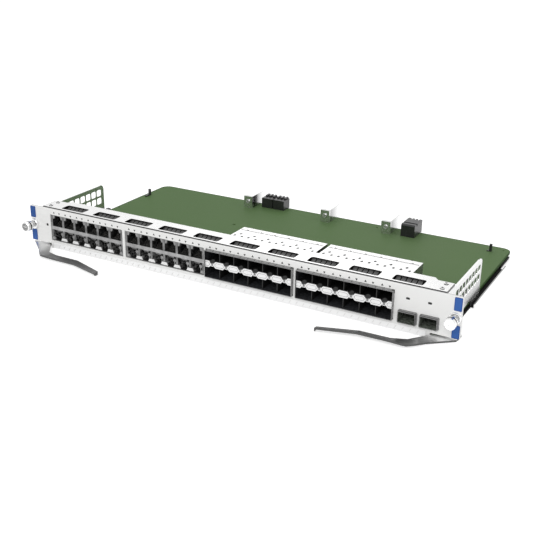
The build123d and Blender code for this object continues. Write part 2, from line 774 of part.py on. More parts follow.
# Single module cages
collar_inset = 2 * collar_fit + collar_wall
single_low = single_opening_low + collar_inset
single_high = single_opening_high - collar_inset
single_width = single_opening_width - 2 * collar_inset
single_mid = (single_low + single_high) / 2
single_length = single_rear - cage_front
single_cages = []
for centre in single_centres:
    with BuildPart() as single_cage:
        for low in (single_low, single_high - cage_shell):
            with BuildSketch(Plane.XY.offset(low)):
                with Locations((centre, (cage_front + single_rear) / 2)):
                    Rectangle(single_width, single_length)
            extrude(amount=cage_shell)
        for side in (-1, 1):
            with BuildSketch(Plane.YZ.offset(centre + side * (single_width / 2 - cage_shell / 2))):
                with Locations(((cage_front + single_rear) / 2, single_mid)):
                    Rectangle(single_length, single_high - single_low - 2 * cage_shell - 2 * seam)
            extrude(amount=cage_shell / 2, both=True)
        with BuildSketch(Plane.XZ.offset(-single_rear + cage_shell)):
            with Locations((centre, single_mid)):
                Rectangle(single_width - 2 * cage_shell - 2 * seam, single_high - single_low - 2 * cage_shell - 2 * seam)
        extrude(amount=-cage_shell)
    single_cages.append(single_cage.part)

# Gasket collars round the single cages, in their panel openings
collar_width = single_opening_width - 2 * collar_fit
collar_height = single_opening_high - single_opening_low - 2 * collar_fit
collar_corner = single_opening_corner - collar_fit
with BuildPart() as single_cage_collars:
    for centre in single_centres:
        with BuildSketch(Plane.XZ.offset(-collar_front)):
            with Locations((centre, single_mid)):
                RectangleRounded(collar_width, collar_height, collar_corner)
                Rectangle(collar_width - 2 * collar_wall, collar_height - 2 * collar_wall, mode=Mode.SUBTRACT)
        extrude(amount=collar_front)

with BuildPart() as single_host_connectors:
    with BuildSketch(Plane.XZ.offset(-single_rear + cage_shell + 0.5)):
        with Locations(*[(x, single_mid) for x in single_centres]):
            Rectangle(11.6, single_high - single_low - 2 * cage_shell - 1.0)
    extrude(amount=9.0)

# Status lenses in the panel
with BuildPart() as status_lenses:
    with BuildSketch(Plane.XZ.offset(-panel_front)):
        for block, pitch, level in [(jack_block_centres, jack_pitch, jack_lens_z),
                                    (cage_block_centres, cage_pitch, cage_lens_z)]:
            for centre in block:
                for column in range(jack_columns):
                    port_x = centre + (column - (jack_columns - 1) / 2) * pitch
                    with Locations((port_x - lens_offset, level)):
                        Triangle(a=lens_side, b=lens_side, c=lens_side)
                    with Locations(Location((port_x + lens_offset, level, 0), (0, 0, 180))):
                        Triangle(a=lens_side, b=lens_side, c=lens_side)
        with Locations(*[(x - 0.7, oval_lens_z) for x in single_centres]):
            SlotOverall(oval_lens_length, oval_lens_height)
    extrude(amount=-lens_depth)

# Coloured strips at both ends of the panel
with BuildPart() as end_strips:
    with BuildSketch(Plane.XZ.offset(-panel_front)):
        with Locations(*[(side * (panel_half - 0.5 - strip_width / 2), sign * strip_mid_z)
                         for side in (-1, 1) for sign in (-1, 1)]):
            RectangleRounded(strip_width, strip_height, 0.8)
    extrude(amount=strip_thickness)

# Spring finger gasket along the bottom of the panel
with BuildPart() as spring_gasket:
    with BuildSketch(Plane.XZ.offset(-panel_front)):
        with Locations((0, (gasket_low + gasket_high) / 2)):
            Rectangle(2 * gasket_half, gasket_high - gasket_low)
        # Slanted slots that part the fingers
        finger_count = int((2 * gasket_half - finger_pitch) / finger_pitch)
        for i in range(finger_count):
            foot = (i - (finger_count - 1) / 2) * finger_pitch - finger_slant / 2
            with BuildLine():
                Polyline((foot, gasket_low + finger_spine), (foot + finger_gap, gasket_low + finger_spine),
                         (foot + finger_slant + finger_gap, gasket_high - finger_spine),
                         (foot + finger_slant, gasket_high - finger_spine), close=True)
            make_face(mode=Mode.SUBTRACT)
    extrude(amount=gasket_thickness)

# Captive screw pieces on the right, then mirrored for the left
ferrule_front = panel_front - ferrule_flange_height
knob_back = ferrule_front - captive_travel
knob_front = knob_back - knob_length
right_axis = Plane(origin=(captive_x, 0, 0), x_dir=(1, 0, 0), z_dir=(0, 0, 1))

with BuildPart() as right_screw_ferrule:
    with BuildSketch(right_axis):
        with BuildLine():
            Polyline((ferrule_lip_bore, 0), (ferrule_neck_radius, 0), (ferrule_neck_radius, panel_front),
                     (ferrule_flange_radius, panel_front), (ferrule_flange_radius, ferrule_front + 0.4),
                     (ferrule_flange_radius - 0.4, ferrule_front), (ferrule_bore, ferrule_front),
                     (ferrule_bore, -ferrule_lip), (ferrule_lip_bore, -ferrule_lip), close=True)
        make_face()
    revolve(axis=Axis((captive_x, 0, 0), (0, 1, 0)))

with BuildPart() as right_captive_screw:
    with BuildSketch(right_axis):
        with BuildLine():
            Polyline((0, knob_front), (knob_radius - 0.6, knob_front), (knob_radius, knob_front + 0.6),
                     (knob_radius, knob_front + knob_disc), (knob_radius - knob_groove, knob_front + knob_disc),
                     (knob_radius - knob_groove, knob_front + knob_disc + knob_groove_width),
                     (knob_radius, knob_front + knob_disc + knob_groove_width),
                     (knob_radius, knob_back - 1.6), (knob_radius - knob_groove, knob_back - 1.3),
                     (knob_radius - knob_groove, knob_back), (stud_neck, knob_back),
                     (stud_neck, 0), (stud_radius, 0), (stud_radius, stud_reach - 0.5),
                     (stud_radius - 0.5, stud_reach), (0, stud_reach), close=True)
        make_face()
    revolve(axis=Axis((captive_x, 0, 0), (0, 1, 0)))
    # Cross recess in the head
    with BuildSketch(Plane.XZ.offset(-knob_front)):
        with Locations((captive_x, 0)):
            Rectangle(4.6, 0.9)
            Rectangle(0.9, 4.6)
    extrude(amount=-1.2, mode=Mode.SUBTRACT)

with BuildPart() as right_screw_washer:
    with BuildSketch(Plane.XZ.offset(-knob_back)):
        with Locations((captive_x, 0)):
            Circle(washer_radius)
            Circle(washer_bore, mode=Mode.SUBTRACT)
    extrude(amount=-washer_thickness)

spring_front = knob_back + washer_thickness
spring_length = -ferrule_lip - spring_front
spring_turns = 4
with BuildPart() as right_screw_spring:
    with BuildLine() as spring_line:
        Helix(pitch=(spring_length - 2 * spring_wire) / spring_turns,
              height=spring_length - 2 * spring_wire, radius=spring_coil_radius,
              center=(captive_x, spring_front + spring_wire, 0), direction=(0, 1, 0))
    with BuildSketch(Plane(origin=spring_line.line @ 0, z_dir=spring_line.line % 0)):
        RegularPolygon(spring_wire, 6)
    sweep(is_frenet=True)

with BuildPart() as left_screw_ferrule:
    mirror(right_screw_ferrule.part, about=Plane.YZ)

with BuildPart() as left_captive_screw:
    mirror(right_captive_screw.part, about=Plane.YZ)

with BuildPart() as left_screw_washer:
    mirror(right_screw_washer.part, about=Plane.YZ)

with BuildPart() as left_screw_spring:
    mirror(right_screw_spring.part, about=Plane.YZ)

# Lever pivot rivets on the tray ears
with BuildPart() as left_lever_rivet:
    with BuildSketch(Plane.XY.offset(tray_floor_top)):
        with Locations((-pivot_x, pivot_y)):
            Circle(pin_shoulder)
    extrude(amount=lever_bottom - pin_fit - tray_floor_top)
    with BuildSketch(Plane.XY.offset(panel_bottom)):
        with Locations((-pivot_x, pivot_y)):
            Circle(pin_radius)
    extrude(amount=lever_bottom + lever_thickness + pin_fit - panel_bottom)
    with BuildSketch(Plane.XY.offset(lever_bottom + lever_thickness + pin_fit)):
        with Locations((-pivot_x, pivot_y)):
            Circle(pin_shoulder)
    extrude(amount=pin_head_height)
    chamfer(left_lever_rivet.faces().sort_by(Axis.Z)[-1].edges(), length=0.4)

with BuildPart() as right_lever_rivet:
    mirror(left_lever_rivet.part, about=Plane.YZ)

# Stamped lever: flat root, then an arm twisted by the roll angle
root_points = [[-7.3, -6.3], [11.7, -21.8], [18.9, -29.5], [23.4, -33.2], [26.0, -33.6], [26.0, -23.4],
               [13.0, -6.3], [10.4, -2.3], [5.4, 3.7], [0.0, 6.5], [-8.3, 4.7], [-8.3, -1.7]]
arm_sections = [[26.0, -28.5, 10.2, 0.0], [39.0, -30.5, 6.6, 1.0], [64.5, -30.9, 6.6, 1.0],
                [96.9, -40.7, 4.6, 1.0]]
levers = []
for roll_sign in (-1, 1):
    with BuildPart() as lever_blank:
        with BuildSketch(Plane.XY.offset(lever_bottom)):
            with BuildLine():
                Polyline(*[(-pivot_x + x, pivot_y + y) for x, y in root_points], close=True)
            make_face()
            with Locations((-pivot_x, pivot_y)):
                Circle(6.5)
                Circle(pin_radius + pin_fit, mode=Mode.SUBTRACT)
        extrude(amount=lever_thickness)
        for section_along, section_out, section_width, roll_share in arm_sections:
            section_y = pivot_y + section_out
            roll = radians(lever_roll) * roll_share * roll_sign
            across = (cos(roll) * section_width / 2, sin(roll) * section_width / 2)
            through = (-sin(roll) * lever_thickness / 2, cos(roll) * lever_thickness / 2)
            with BuildSketch(Plane.YZ.offset(-pivot_x + section_along)):
                with BuildLine():
                    Polyline(*[(section_y + a * across[0] + t * through[0],
                                lever_mid_z + a * across[1] + t * through[1])
                               for a, t in ((-1, -1), (1, -1), (1, 1), (-1, 1))], close=True)
                make_face()
        loft(ruled=True)
    levers.append(lever_blank.part)

with BuildPart() as left_lever:
    add(levers[1])

with BuildPart() as right_lever:
    mirror(levers[0], about=Plane.YZ)

# Rear guide blades on the board, and their screws
with BuildPart() as rear_guides:
    with BuildSketch(Plane.XY.offset(board_top)):
        for right in guide_rights:
            with Locations((right - guide_width / 2, guide_front + guide_block_depth / 2)):
                Rectangle(guide_width, guide_block_depth)
            with Locations((right - guide_blade / 2, (guide_front + guide_blade_rear) / 2)):
                Rectangle(guide_blade, guide_blade_rear - guide_front)
    extrude(amount=guide_height)
    with BuildSketch(Plane.XZ.offset(-guide_front)):
        with Locations(*[(x - guide_width / 2, guide_screw_z) for x in guide_rights]):
            Circle(guide_screw_radius)
    extrude(amount=-3.4, mode=Mode.SUBTRACT)
    chamfer(rear_guides.edges().filter_by(Axis.X).group_by(Axis.Y)[-1].group_by(Axis.Z)[-1], length=2.5)

with BuildPart() as guide_screws:
    with BuildSketch(Plane.XZ.offset(-guide_front)):
        with Locations(*[(x - guide_width / 2, guide_screw_z) for x in guide_rights]):
            Circle(guide_screw_head)
    extrude(amount=1.2)
    chamfer(guide_screws.faces().sort_by(Axis.Y)[:3].edges(), length=0.4)
    with BuildSketch(Plane.XZ.offset(-guide_front)):
        with Locations(*[(x - guide_width / 2, guide_screw_z) for x in guide_rights]):
            Circle(guide_screw_radius)
    extrude(amount=-3.2)

# Single rear connector: toothed rear edge, cross slot in the top, contact slots behind
single_top = board_top + single_connector_height
single_front_y = single_connector_rear - single_connector_depth
with BuildPart() as single_connector:
    with BuildSketch(Plane.XY.offset(board_top)):
        with Locations((single_connector_x, single_connector_rear - single_connector_depth / 2)):
            Rectangle(single_connector_width, single_connector_depth)
    extrude(amount=single_connector_height)
    front_top = single_connector.edges().filter_by(Axis.X).group_by(Axis.Y)[0].sort_by(Axis.Z)[-1]
    chamfer(front_top, length=1.4)
    with BuildSketch(Plane.XY.offset(single_top)):
        # Cross slot
        with Locations((single_connector_x, single_front_y + 6.2)):
            Rectangle(single_connector_width, 2.5)
        # Gaps between the teeth along the rear edge
        with Locations((single_connector_x, single_connector_rear - 2.0)):
            with GridLocations(tooth_pitch, 1, connector_teeth - 1, 1):
                Rectangle(tooth_gap, 4.0)
    extrude(amount=-2.2, mode=Mode.SUBTRACT)
    with BuildSketch(Plane.XZ.offset(-single_connector_rear)):
        with Locations((single_connector_x, board_top + 5.0)):
            with GridLocations(contact_slot_pitch, 1, contact_slots, 1):
                Rectangle(contact_slot_width, contact_slot_height)
    extrude(amount=8.0, mode=Mode.SUBTRACT)

# Pair of low rear connectors with grooved tops
paired_top = board_top + paired_connector_height
with BuildPart() as paired_connectors:
    with BuildSketch(Plane.XY.offset(board_top)):
        with Locations(*[(x, paired_connector_rear - paired_connector_depth / 2) for x in paired_connector_x]):
            Rectangle(paired_connector_width, paired_connector_depth)
    extrude(amount=paired_connector_height)
    # Fins over the rear half of the tops
    with BuildSketch(Plane.XY.offset(paired_top)):
        with Locations(*[(x, paired_connector_rear - fin_depth / 2) for x in paired_connector_x]):
            with GridLocations(fin_pitch, 1, fin_count, 1):
                Rectangle(fin_width, fin_depth)
    extrude(amount=fin_height)
    with BuildSketch(Plane.XZ.offset(-paired_connector_rear)):
        with Locations(*[(x, board_top + 5.0) for x in paired_connector_x]):
            with GridLocations(contact_slot_pitch, 1, contact_slots, 1):
                Rectangle(contact_slot_width, contact_slot_height)
    extrude(amount=6.0, mode=Mode.SUBTRACT)

# Small clips standing on the board
clip_x = board_right - 17.2
left_clip_x = board_left + 5.5
corner_clip_x = board_left + 4.4
with BuildPart() as left_board_clip:
    with BuildSketch(Plane.XY.offset(board_top)):
        with Locations((left_clip_x, board_rear - 42.9)):
            Rectangle(2.6, 8.5)
    extrude(amount=1.4)
    with BuildSketch(Plane.XY.offset(board_top)):
        with Locations((left_clip_x, board_rear - 39.4)):
            Rectangle(2.6, 1.8)
    extrude(amount=7.0)

with BuildPart() as right_board_clip:
    with BuildSketch(Plane.XY.offset(board_top)):
        with Locations((clip_x - 2.0, board_rear - 15.4)):
            Rectangle(3.0, 2.2)
    extrude(amount=0.8)
    with BuildSketch(Plane.XY.offset(board_top)):
        with Locations((clip_x, board_rear - 15.4)):
            Rectangle(2.4, 2.2)
    extrude(amount=7.5)

with BuildPart() as bracket_corner_clip:
    with BuildSketch(Plane.XY.offset(board_top)):
        with Locations((corner_clip_x, bracket_rear + 3.0)):
            Rectangle(4.0, 5.0)
    extrude(amount=5.0)
    chamfer(bracket_corner_clip.faces().sort_by(Axis.Z)[-1].edges(), length=0.8)

# Label and export every piece
front_panel.part.label = "front_panel"
export_step(front_panel.part, "parts/front_panel.step")
top_plate.part.label = "top_plate"
export_step(top_plate.part, "parts/top_plate.step")
slot_spring_strips.part.label = "slot_spring_strips"
export_step(slot_spring_strips.part, "parts/slot_spring_strips.step")
single_cage_collars.part.label = "single_cage_collars"
export_step(single_cage_collars.part, "parts/single_cage_collars.step")
top_plate_screws.part.label = "top_plate_screws"
export_step(top_plate_screws.part, "parts/top_plate_screws.step")
left_side_bracket.part.label = "left_side_bracket"
export_step(left_side_bracket.part, "parts/left_side_bracket.step")
right_side_bracket.part.label = "right_side_bracket"
export_step(right_side_bracket.part, "parts/right_side_bracket.step")
bracket_rivets.part.label = "bracket_rivets"
export_step(bracket_rivets.part, "parts/bracket_rivets.step")
base_tray.part.label = "base_tray"
export_step(base_tray.part, "parts/base_tray.step")
insulating_sheet.part.label = "insulating_sheet"
export_step(insulating_sheet.part, "parts/insulating_sheet.step")
board_standoffs.part.label = "board_standoffs"
export_step(board_standoffs.part, "parts/board_standoffs.step")
circuit_board.part.label = "circuit_board"
export_step(circuit_board.part, "parts/circuit_board.step")
board_screws.part.label = "board_screws"
export_step(board_screws.part, "parts/board_screws.step")
block_sets = [("jack_shield", jack_shields), ("jack_housing", jack_housings), ("jack_contacts", jack_contacts),
              ("cage_shell", cage_shells), ("cage_dividers", cage_dividers), ("cage_bands", cage_bands),
              ("cage_bezel", cage_bezels), ("single_cage", single_cages)]
for set_name, pieces in block_sets:
    for place, piece in zip(("left", "right"), pieces):
        piece.label = place + "_" + set_name
        export_step(piece, "parts/" + place + "_" + set_name + ".step")
jack_light_windows.part.label = "jack_light_windows"
export_step(jack_light_windows.part, "parts/jack_light_windows.step")
jack_pins.part.label = "jack_pins"
export_step(jack_pins.part, "parts/jack_pins.step")
cage_feet.part.label = "cage_feet"
export_step(cage_feet.part, "parts/cage_feet.step")
host_connectors.part.label = "host_connectors"
export_step(host_connectors.part, "parts/host_connectors.step")
single_host_connectors.part.label = "single_host_connectors"
export_step(single_host_connectors.part, "parts/single_host_connectors.step")
status_lenses.part.label = "status_lenses"
export_step(status_lenses.part, "parts/status_lenses.step")
end_strips.part.label = "end_strips"
export_step(end_strips.part, "parts/end_strips.step")
spring_gasket.part.label = "spring_gasket"
export_step(spring_gasket.part, "parts/spring_gasket.step")
left_screw_ferrule.part.label = "left_screw_ferrule"
export_step(left_screw_ferrule.part, "parts/left_screw_ferrule.step")
right_screw_ferrule.part.label = "right_screw_ferrule"
export_step(right_screw_ferrule.part, "parts/right_screw_ferrule.step")
left_captive_screw.part.label = "left_captive_screw"
export_step(left_captive_screw.part, "parts/left_captive_screw.step")
right_captive_screw.part.label = "right_captive_screw"
export_step(right_captive_screw.part, "parts/right_captive_screw.step")
left_screw_washer.part.label = "left_screw_washer"
export_step(left_screw_washer.part, "parts/left_screw_washer.step")
right_screw_washer.part.label = "right_screw_washer"
export_step(right_screw_washer.part, "parts/right_screw_washer.step")
left_screw_spring.part.label = "left_screw_spring"
export_step(left_screw_spring.part, "parts/left_screw_spring.step")
right_screw_spring.part.label = "right_screw_spring"
export_step(right_screw_spring.part, "parts/right_screw_spring.step")
left_lever_rivet.part.label = "left_lever_rivet"
export_step(left_lever_rivet.part, "parts/left_lever_rivet.step")
right_lever_rivet.part.label = "right_lever_rivet"
export_step(right_lever_rivet.part, "parts/right_lever_rivet.step")
left_lever.part.label = "left_lever"
export_step(left_lever.part, "parts/left_lever.step")
right_lever.part.label = "right_lever"
export_step(right_lever.part, "parts/right_lever.step")
rear_guides.part.label = "rear_guides"
export_step(rear_guides.part, "parts/rear_guides.step")
guide_screws.part.label = "guide_screws"
export_step(guide_screws.part, "parts/guide_screws.step")
single_connector.part.label = "single_connector"
export_step(single_connector.part, "parts/single_connector.step")
paired_connectors.part.label = "paired_connectors"
export_step(paired_connectors.part, "parts/paired_connectors.step")
left_board_clip.part.label = "left_board_clip"
export_step(left_board_clip.part, "parts/left_board_clip.step")
right_board_clip.part.label = "right_board_clip"
export_step(right_board_clip.part, "parts/right_board_clip.step")
bracket_corner_clip.part.label = "bracket_corner_clip"
export_step(bracket_corner_clip.part, "parts/bracket_corner_clip.step")
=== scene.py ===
import json
import math

import bpy
from mathutils import Matrix, Vector


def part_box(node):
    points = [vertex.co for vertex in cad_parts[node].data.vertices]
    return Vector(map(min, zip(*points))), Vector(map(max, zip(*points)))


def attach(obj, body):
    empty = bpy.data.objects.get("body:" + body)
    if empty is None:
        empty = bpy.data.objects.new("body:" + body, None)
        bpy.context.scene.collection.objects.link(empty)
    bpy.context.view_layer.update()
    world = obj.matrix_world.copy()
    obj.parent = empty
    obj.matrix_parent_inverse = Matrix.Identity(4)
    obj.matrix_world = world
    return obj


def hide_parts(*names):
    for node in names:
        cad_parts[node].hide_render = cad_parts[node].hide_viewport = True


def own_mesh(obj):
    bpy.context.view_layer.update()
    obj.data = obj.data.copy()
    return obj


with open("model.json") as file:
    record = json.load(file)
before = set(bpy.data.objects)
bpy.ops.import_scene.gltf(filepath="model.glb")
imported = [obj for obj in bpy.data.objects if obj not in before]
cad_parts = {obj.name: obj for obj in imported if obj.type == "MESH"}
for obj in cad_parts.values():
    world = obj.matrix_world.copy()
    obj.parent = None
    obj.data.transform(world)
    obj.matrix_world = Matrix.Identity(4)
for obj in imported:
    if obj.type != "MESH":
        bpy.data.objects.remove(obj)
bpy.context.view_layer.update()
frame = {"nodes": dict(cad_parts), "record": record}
nodes = frame["nodes"]
mm = 0.001
print("frame loaded", len(nodes), "nodes")


# one wire of a shader, so that maths on it is written as ordinary sums
class Wire:
    def __init__(self, finish, socket):
        self.finish, self.socket = finish, socket

    def maths(self, operation, first, second):
        return self.finish.node("ShaderNodeMath", {"operation": operation}, {0: first, 1: second})

    def __add__(self, other):
        return self.maths("ADD", self, other)

    def __radd__(self, other):
        return self.maths("ADD", other, self)

    def __sub__(self, other):
        return self.maths("SUBTRACT", self, other)

    def __rsub__(self, other):
        return self.maths("SUBTRACT", other, self)

    def __mul__(self, other):
        return self.maths("MULTIPLY", self, other)

    def __rmul__(self, other):
        return self.maths("MULTIPLY", other, self)

    def __gt__(self, other):
        return self.maths("GREATER_THAN", self, other)

    def __lt__(self, other):
        return self.maths("LESS_THAN", self, other)

    def higher(self, other):
        return self.maths("MAXIMUM", self, other)

    def size(self):
        return self.maths("ABSOLUTE", self, 0.0)

    # distance from the nearest of many places that repeat at a pitch, counted from well to the left
    def fromRepeat(self, first, pitch, before=40):
        return self.maths("PINGPONG", self - (first - before * pitch) * mm, pitch / 2 * mm)


class Finish:
    def __init__(self, name, home=None):
        self.material = (bpy.data.materials if home is None else home).new(name)
        self.material.use_nodes = True
        self.tree = self.material.node_tree
        self.tree.nodes.clear()

    def node(self, kind, settings=None, inputs=None, output=0):
        made = self.tree.nodes.new(kind)
        for key, value in (settings or {}).items():
            if key == "stops":
                ramp = made.color_ramp
                while len(ramp.elements) < len(value):
                    ramp.elements.new(0.5)
                for element, (place, colour) in zip(ramp.elements, value):
                    element.position = place
                    element.color = colour
            else:
                setattr(made, key, value)
        for key, value in (inputs or {}).items():
            if isinstance(value, Wire):
                self.tree.links.new(value.socket, made.inputs[key])
            else:
                made.inputs[key].default_value = value
        return Wire(self, made.outputs[output]) if made.outputs else None

    def place(self):
        return self.node("ShaderNodeTexCoord", output="Object")

    def along(self, axis):
        return self.node("ShaderNodeSeparateXYZ", {}, {0: self.place()}, output=axis)

    def facing(self, axis):
        normal = self.node("ShaderNodeTexCoord", output="Normal")
        return self.node("ShaderNodeSeparateXYZ", {}, {0: normal}, output=axis)

    # 1 where the surface looks along an axis, either way
    def broad(self, axis, least=0.7):
        return self.facing(axis).size() > least

    # 1 between two places in millimetres, 0 outside them
    def between(self, axis, low, high):
        wire = self.along(axis)
        return (wire > low * mm) * (wire < high * mm)

    # 1 within a distance in millimetres of a middle, 0 outside it
    def near(self, axis, middle, reach):
        return (self.along(axis) - middle * mm).size() < reach * mm

    # 1 inside two blocks of one size, set in from their walls
    def inBlocks(self, middles, low, high, depth, wall):
        half = (high[0] - low[0]) / 2 - wall
        blocks = self.near("X", middles[0], half).higher(self.near("X", middles[1], half))
        return blocks * self.between("Z", low[2] + wall, high[2] - wall) * self.between("Y", *depth)

    def noise(self, scale, detail=2.0):
        return self.node("ShaderNodeTexNoise", {}, {"Vector": self.place(), "Scale": scale, "Detail": detail},
                         output="Fac")

    def spread(self, value, low, high, fromLow=0.0, fromHigh=1.0):
        return self.node("ShaderNodeMapRange", {}, {"Value": value, "From Min": fromLow, "From Max": fromHigh,
                                                    "To Min": low, "To Max": high})

    # 0 at one value and 1 at another
    def share(self, value, fromLow, fromHigh):
        return self.spread(value, 0.0, 1.0, fromLow, fromHigh)

    def mixed(self, factor, first, second):
        return self.node("ShaderNodeMix", {"data_type": "RGBA"}, {"Factor": factor, 6: first, 7: second},
                         output=2)

    def ramp(self, value, stops):
        return self.node("ShaderNodeValToRGB", {"stops": stops}, {"Fac": value}, output="Color")

    def bumped(self, height, strength, distance):
        return self.node("ShaderNodeBump", {}, {"Height": height, "Strength": strength, "Distance": distance})

    # 1 for what the camera sees straight, in gloss or through glass
    def watched(self):
        seen = [self.node("ShaderNodeLightPath", output=ray)
                for ray in ("Is Camera Ray", "Is Glossy Ray", "Is Transmission Ray")]
        return seen[0].higher(seen[1]).higher(seen[2])

    def surface(self, **sockets):
        named = {key.replace("_", " "): value for key, value in sockets.items()}
        shader = self.node("ShaderNodeBsdfPrincipled", {}, named)
        self.node("ShaderNodeOutputMaterial", {}, {"Surface": shader})
        return self.material

    # a surface whose shine, and bump if it has any, come from one grain
    def grained(self, colour, grain, look, **sockets):
        if "bump" in look:
            sockets["Normal"] = self.bumped(grain, *look["bump"])
        return self.surface(Base_Color=colour, Roughness=self.spread(grain, *look["rough"]), **sockets)


def grey(level):
    return (level, level, level, 1.0)


def shade(red, green, blue):
    return (red, green, blue, 1.0)


# places on the card, in millimetres, measured from the frame
def spanOf(node):
    low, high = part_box(node)
    return [v / mm for v in low], [v / mm for v in high]


def middleOf(node, axis):
    low, high = spanOf(node)
    return (low[axis] + high[axis]) / 2


sides = ("left", "right")
jackMiddles = [middleOf(side + "_jack_shield", 0) for side in sides]
cageMiddles = [middleOf(side + "_cage_shell", 0) for side in sides]
singleMiddles = [middleOf(side + "_single_cage", 0) for side in sides]
cageLow, cageHigh = spanOf("left_cage_shell")
jackLow, jackHigh = spanOf("left_jack_shield")
singleLow, singleHigh = spanOf("left_single_cage")
plateLow, plateHigh = spanOf("top_plate")
boardLow, boardHigh = spanOf("circuit_board")
panelLow, panelHigh = spanOf("front_panel")
cageHalf = (cageHigh[0] - cageLow[0]) / 2
jackMidZ = (jackLow[2] + jackHigh[2]) / 2
cagePitch = 14.25
jackPitch = 13.97
columns = 6
sheetCage = 0.4


# panel paint: a fine grain, painted shade in the groove along the fold, and painted shade on the rear edge
def powderCoat():
    look = {"light": shade(0.84, 0.84, 0.83), "dark": shade(0.79, 0.79, 0.78), "grain": 1500.0,
            "grooveShadeLeft": grey(0.07), "grooveShadeRight": grey(0.22), "grooveFade": (-0.2, 0.1),
            "grooveY": (0.05, 2.6), "grooveZ": (plateLow[2] - 1.1, plateLow[2] + 0.1),
            "rearEdgePaintedLight": grey(0.42), "rearY": (-0.75, 0.1), "rearTall": 0.3, "rough": (0.42, 0.58),
            "bump": (0.12, 0.00025)}
    f = Finish("powderCoat")
    cloud = f.noise(14.0, 3.0)
    grain = f.noise(look["grain"])
    paint = f.mixed(f.share(cloud * 0.5 + grain * 0.5, 0.3, 0.7), look["dark"], look["light"])
    # painted shade in the groove along the fold, darker to the left
    fold = f.between("Y", *look["grooveY"]) * f.between("Z", *look["grooveZ"])
    groove = f.mixed(f.share(f.along("X"), *look["grooveFade"]), look["grooveShadeLeft"], look["grooveShadeRight"])
    # painted shade along the rear top edge
    rear = f.between("Y", *look["rearY"]) * (f.along("Z") > (panelHigh[2] - look["rearTall"]) * mm)
    edged = f.mixed(rear, paint, look["rearEdgePaintedLight"])
    return f.grained(f.mixed(fold, edged, groove), grain, look, Specular_IOR_Level=0.2)


# top plate: bright face with painted shade on the front and side edges, a green painted reflection of the
# board in the rear edge, and painted shade on the underside round the slots
def platedPlate():
    look = {"light": shade(0.88, 0.88, 0.875), "dark": shade(0.81, 0.81, 0.81), "edge": grey(0.20),
            "cut": grey(0.02), "rearEdgePaintedLight": shade(0.12, 0.17, 0.09), "edgeWide": 0.45, "skin": 0.06,
            "frontY": (plateLow[1] - 0.1, plateLow[1] + 0.35), "rough": (0.16, 0.26),
            "innerY": (plateLow[1] + 0.2, plateHigh[1] - 4.7), "bump": (0.03, 0.0002)}
    f = Finish("platedPlate")
    cloud = f.noise(22.0, 4.0)
    fine = f.noise(900.0, 3.0)
    sheet = f.mixed(cloud, look["dark"], look["light"])
    # painted shade on the front and side edges
    sideEdgeShade = f.along("X").size() > (plateHigh[0] - look["edgeWide"]) * mm
    rearEdgePaintedLight = f.along("Y") > (plateHigh[1] - look["edgeWide"]) * mm
    # painted shade, near black, on the underside and in the slots
    under = f.along("Z") < (plateHigh[2] - look["skin"]) * mm
    inner = f.between("Y", *look["innerY"]) * under
    edges = f.mixed(f.between("Y", *look["frontY"]).higher(sideEdgeShade), sheet, look["edge"])
    # painted reflection of the green board in the rear edge
    edges = f.mixed(rearEdgePaintedLight, edges, look["rearEdgePaintedLight"])
    return f.grained(f.mixed(inner, edges, look["cut"]), fine, look, Metallic=0.85)


# tray: bright sheet with a darker line along the rail's top
def platedSheet():
    look = {"light": shade(0.90, 0.90, 0.895), "dark": shade(0.82, 0.825, 0.82), "railEdge": grey(0.30),
            "edgeTall": 0.35, "rough": (0.16, 0.26), "bump": (0.03, 0.0002)}
    f = Finish("platedSheet")
    cloud = f.noise(22.0, 4.0)
    fine = f.noise(900.0, 3.0)
    railTop = spanOf("base_tray")[1][2]
    sheet = f.mixed(cloud, look["dark"], look["light"])
    sheet = f.mixed(f.along("Z") > (railTop - look["edgeTall"]) * mm, sheet, look["railEdge"])
    return f.grained(sheet, fine, look, Metallic=0.95)


# side brackets: a painted reflection darkens the right bracket's outer face towards the bottom, and a painted
# highlight lies on the thin edges
def bracketSheet():
    look = {"light": grey(0.70), "dark": grey(0.62), "low": grey(0.42), "edge": grey(0.95), "lowEnd": -8.0,
            "highEnd": 14.0, "rough": (0.16, 0.26), "bump": (0.03, 0.0002)}
    f = Finish("bracketSheet")
    cloud = f.noise(30.0, 4.0)
    fine = f.noise(900.0, 3.0)
    face = f.mixed(cloud, look["dark"], look["light"])
    # painted reflection: the right bracket's outer face darker towards the bottom
    lowReflection = f.spread(f.along("Z"), 1.0, 0.0, look["lowEnd"] * mm, look["highEnd"] * mm)
    face = f.mixed(lowReflection * (f.along("X") > 0.0), face, look["low"])
    # painted highlight on the faces that do not look along X
    return f.grained(f.mixed(f.broad("X"), look["edge"], face), fine, look, Metallic=0.95)
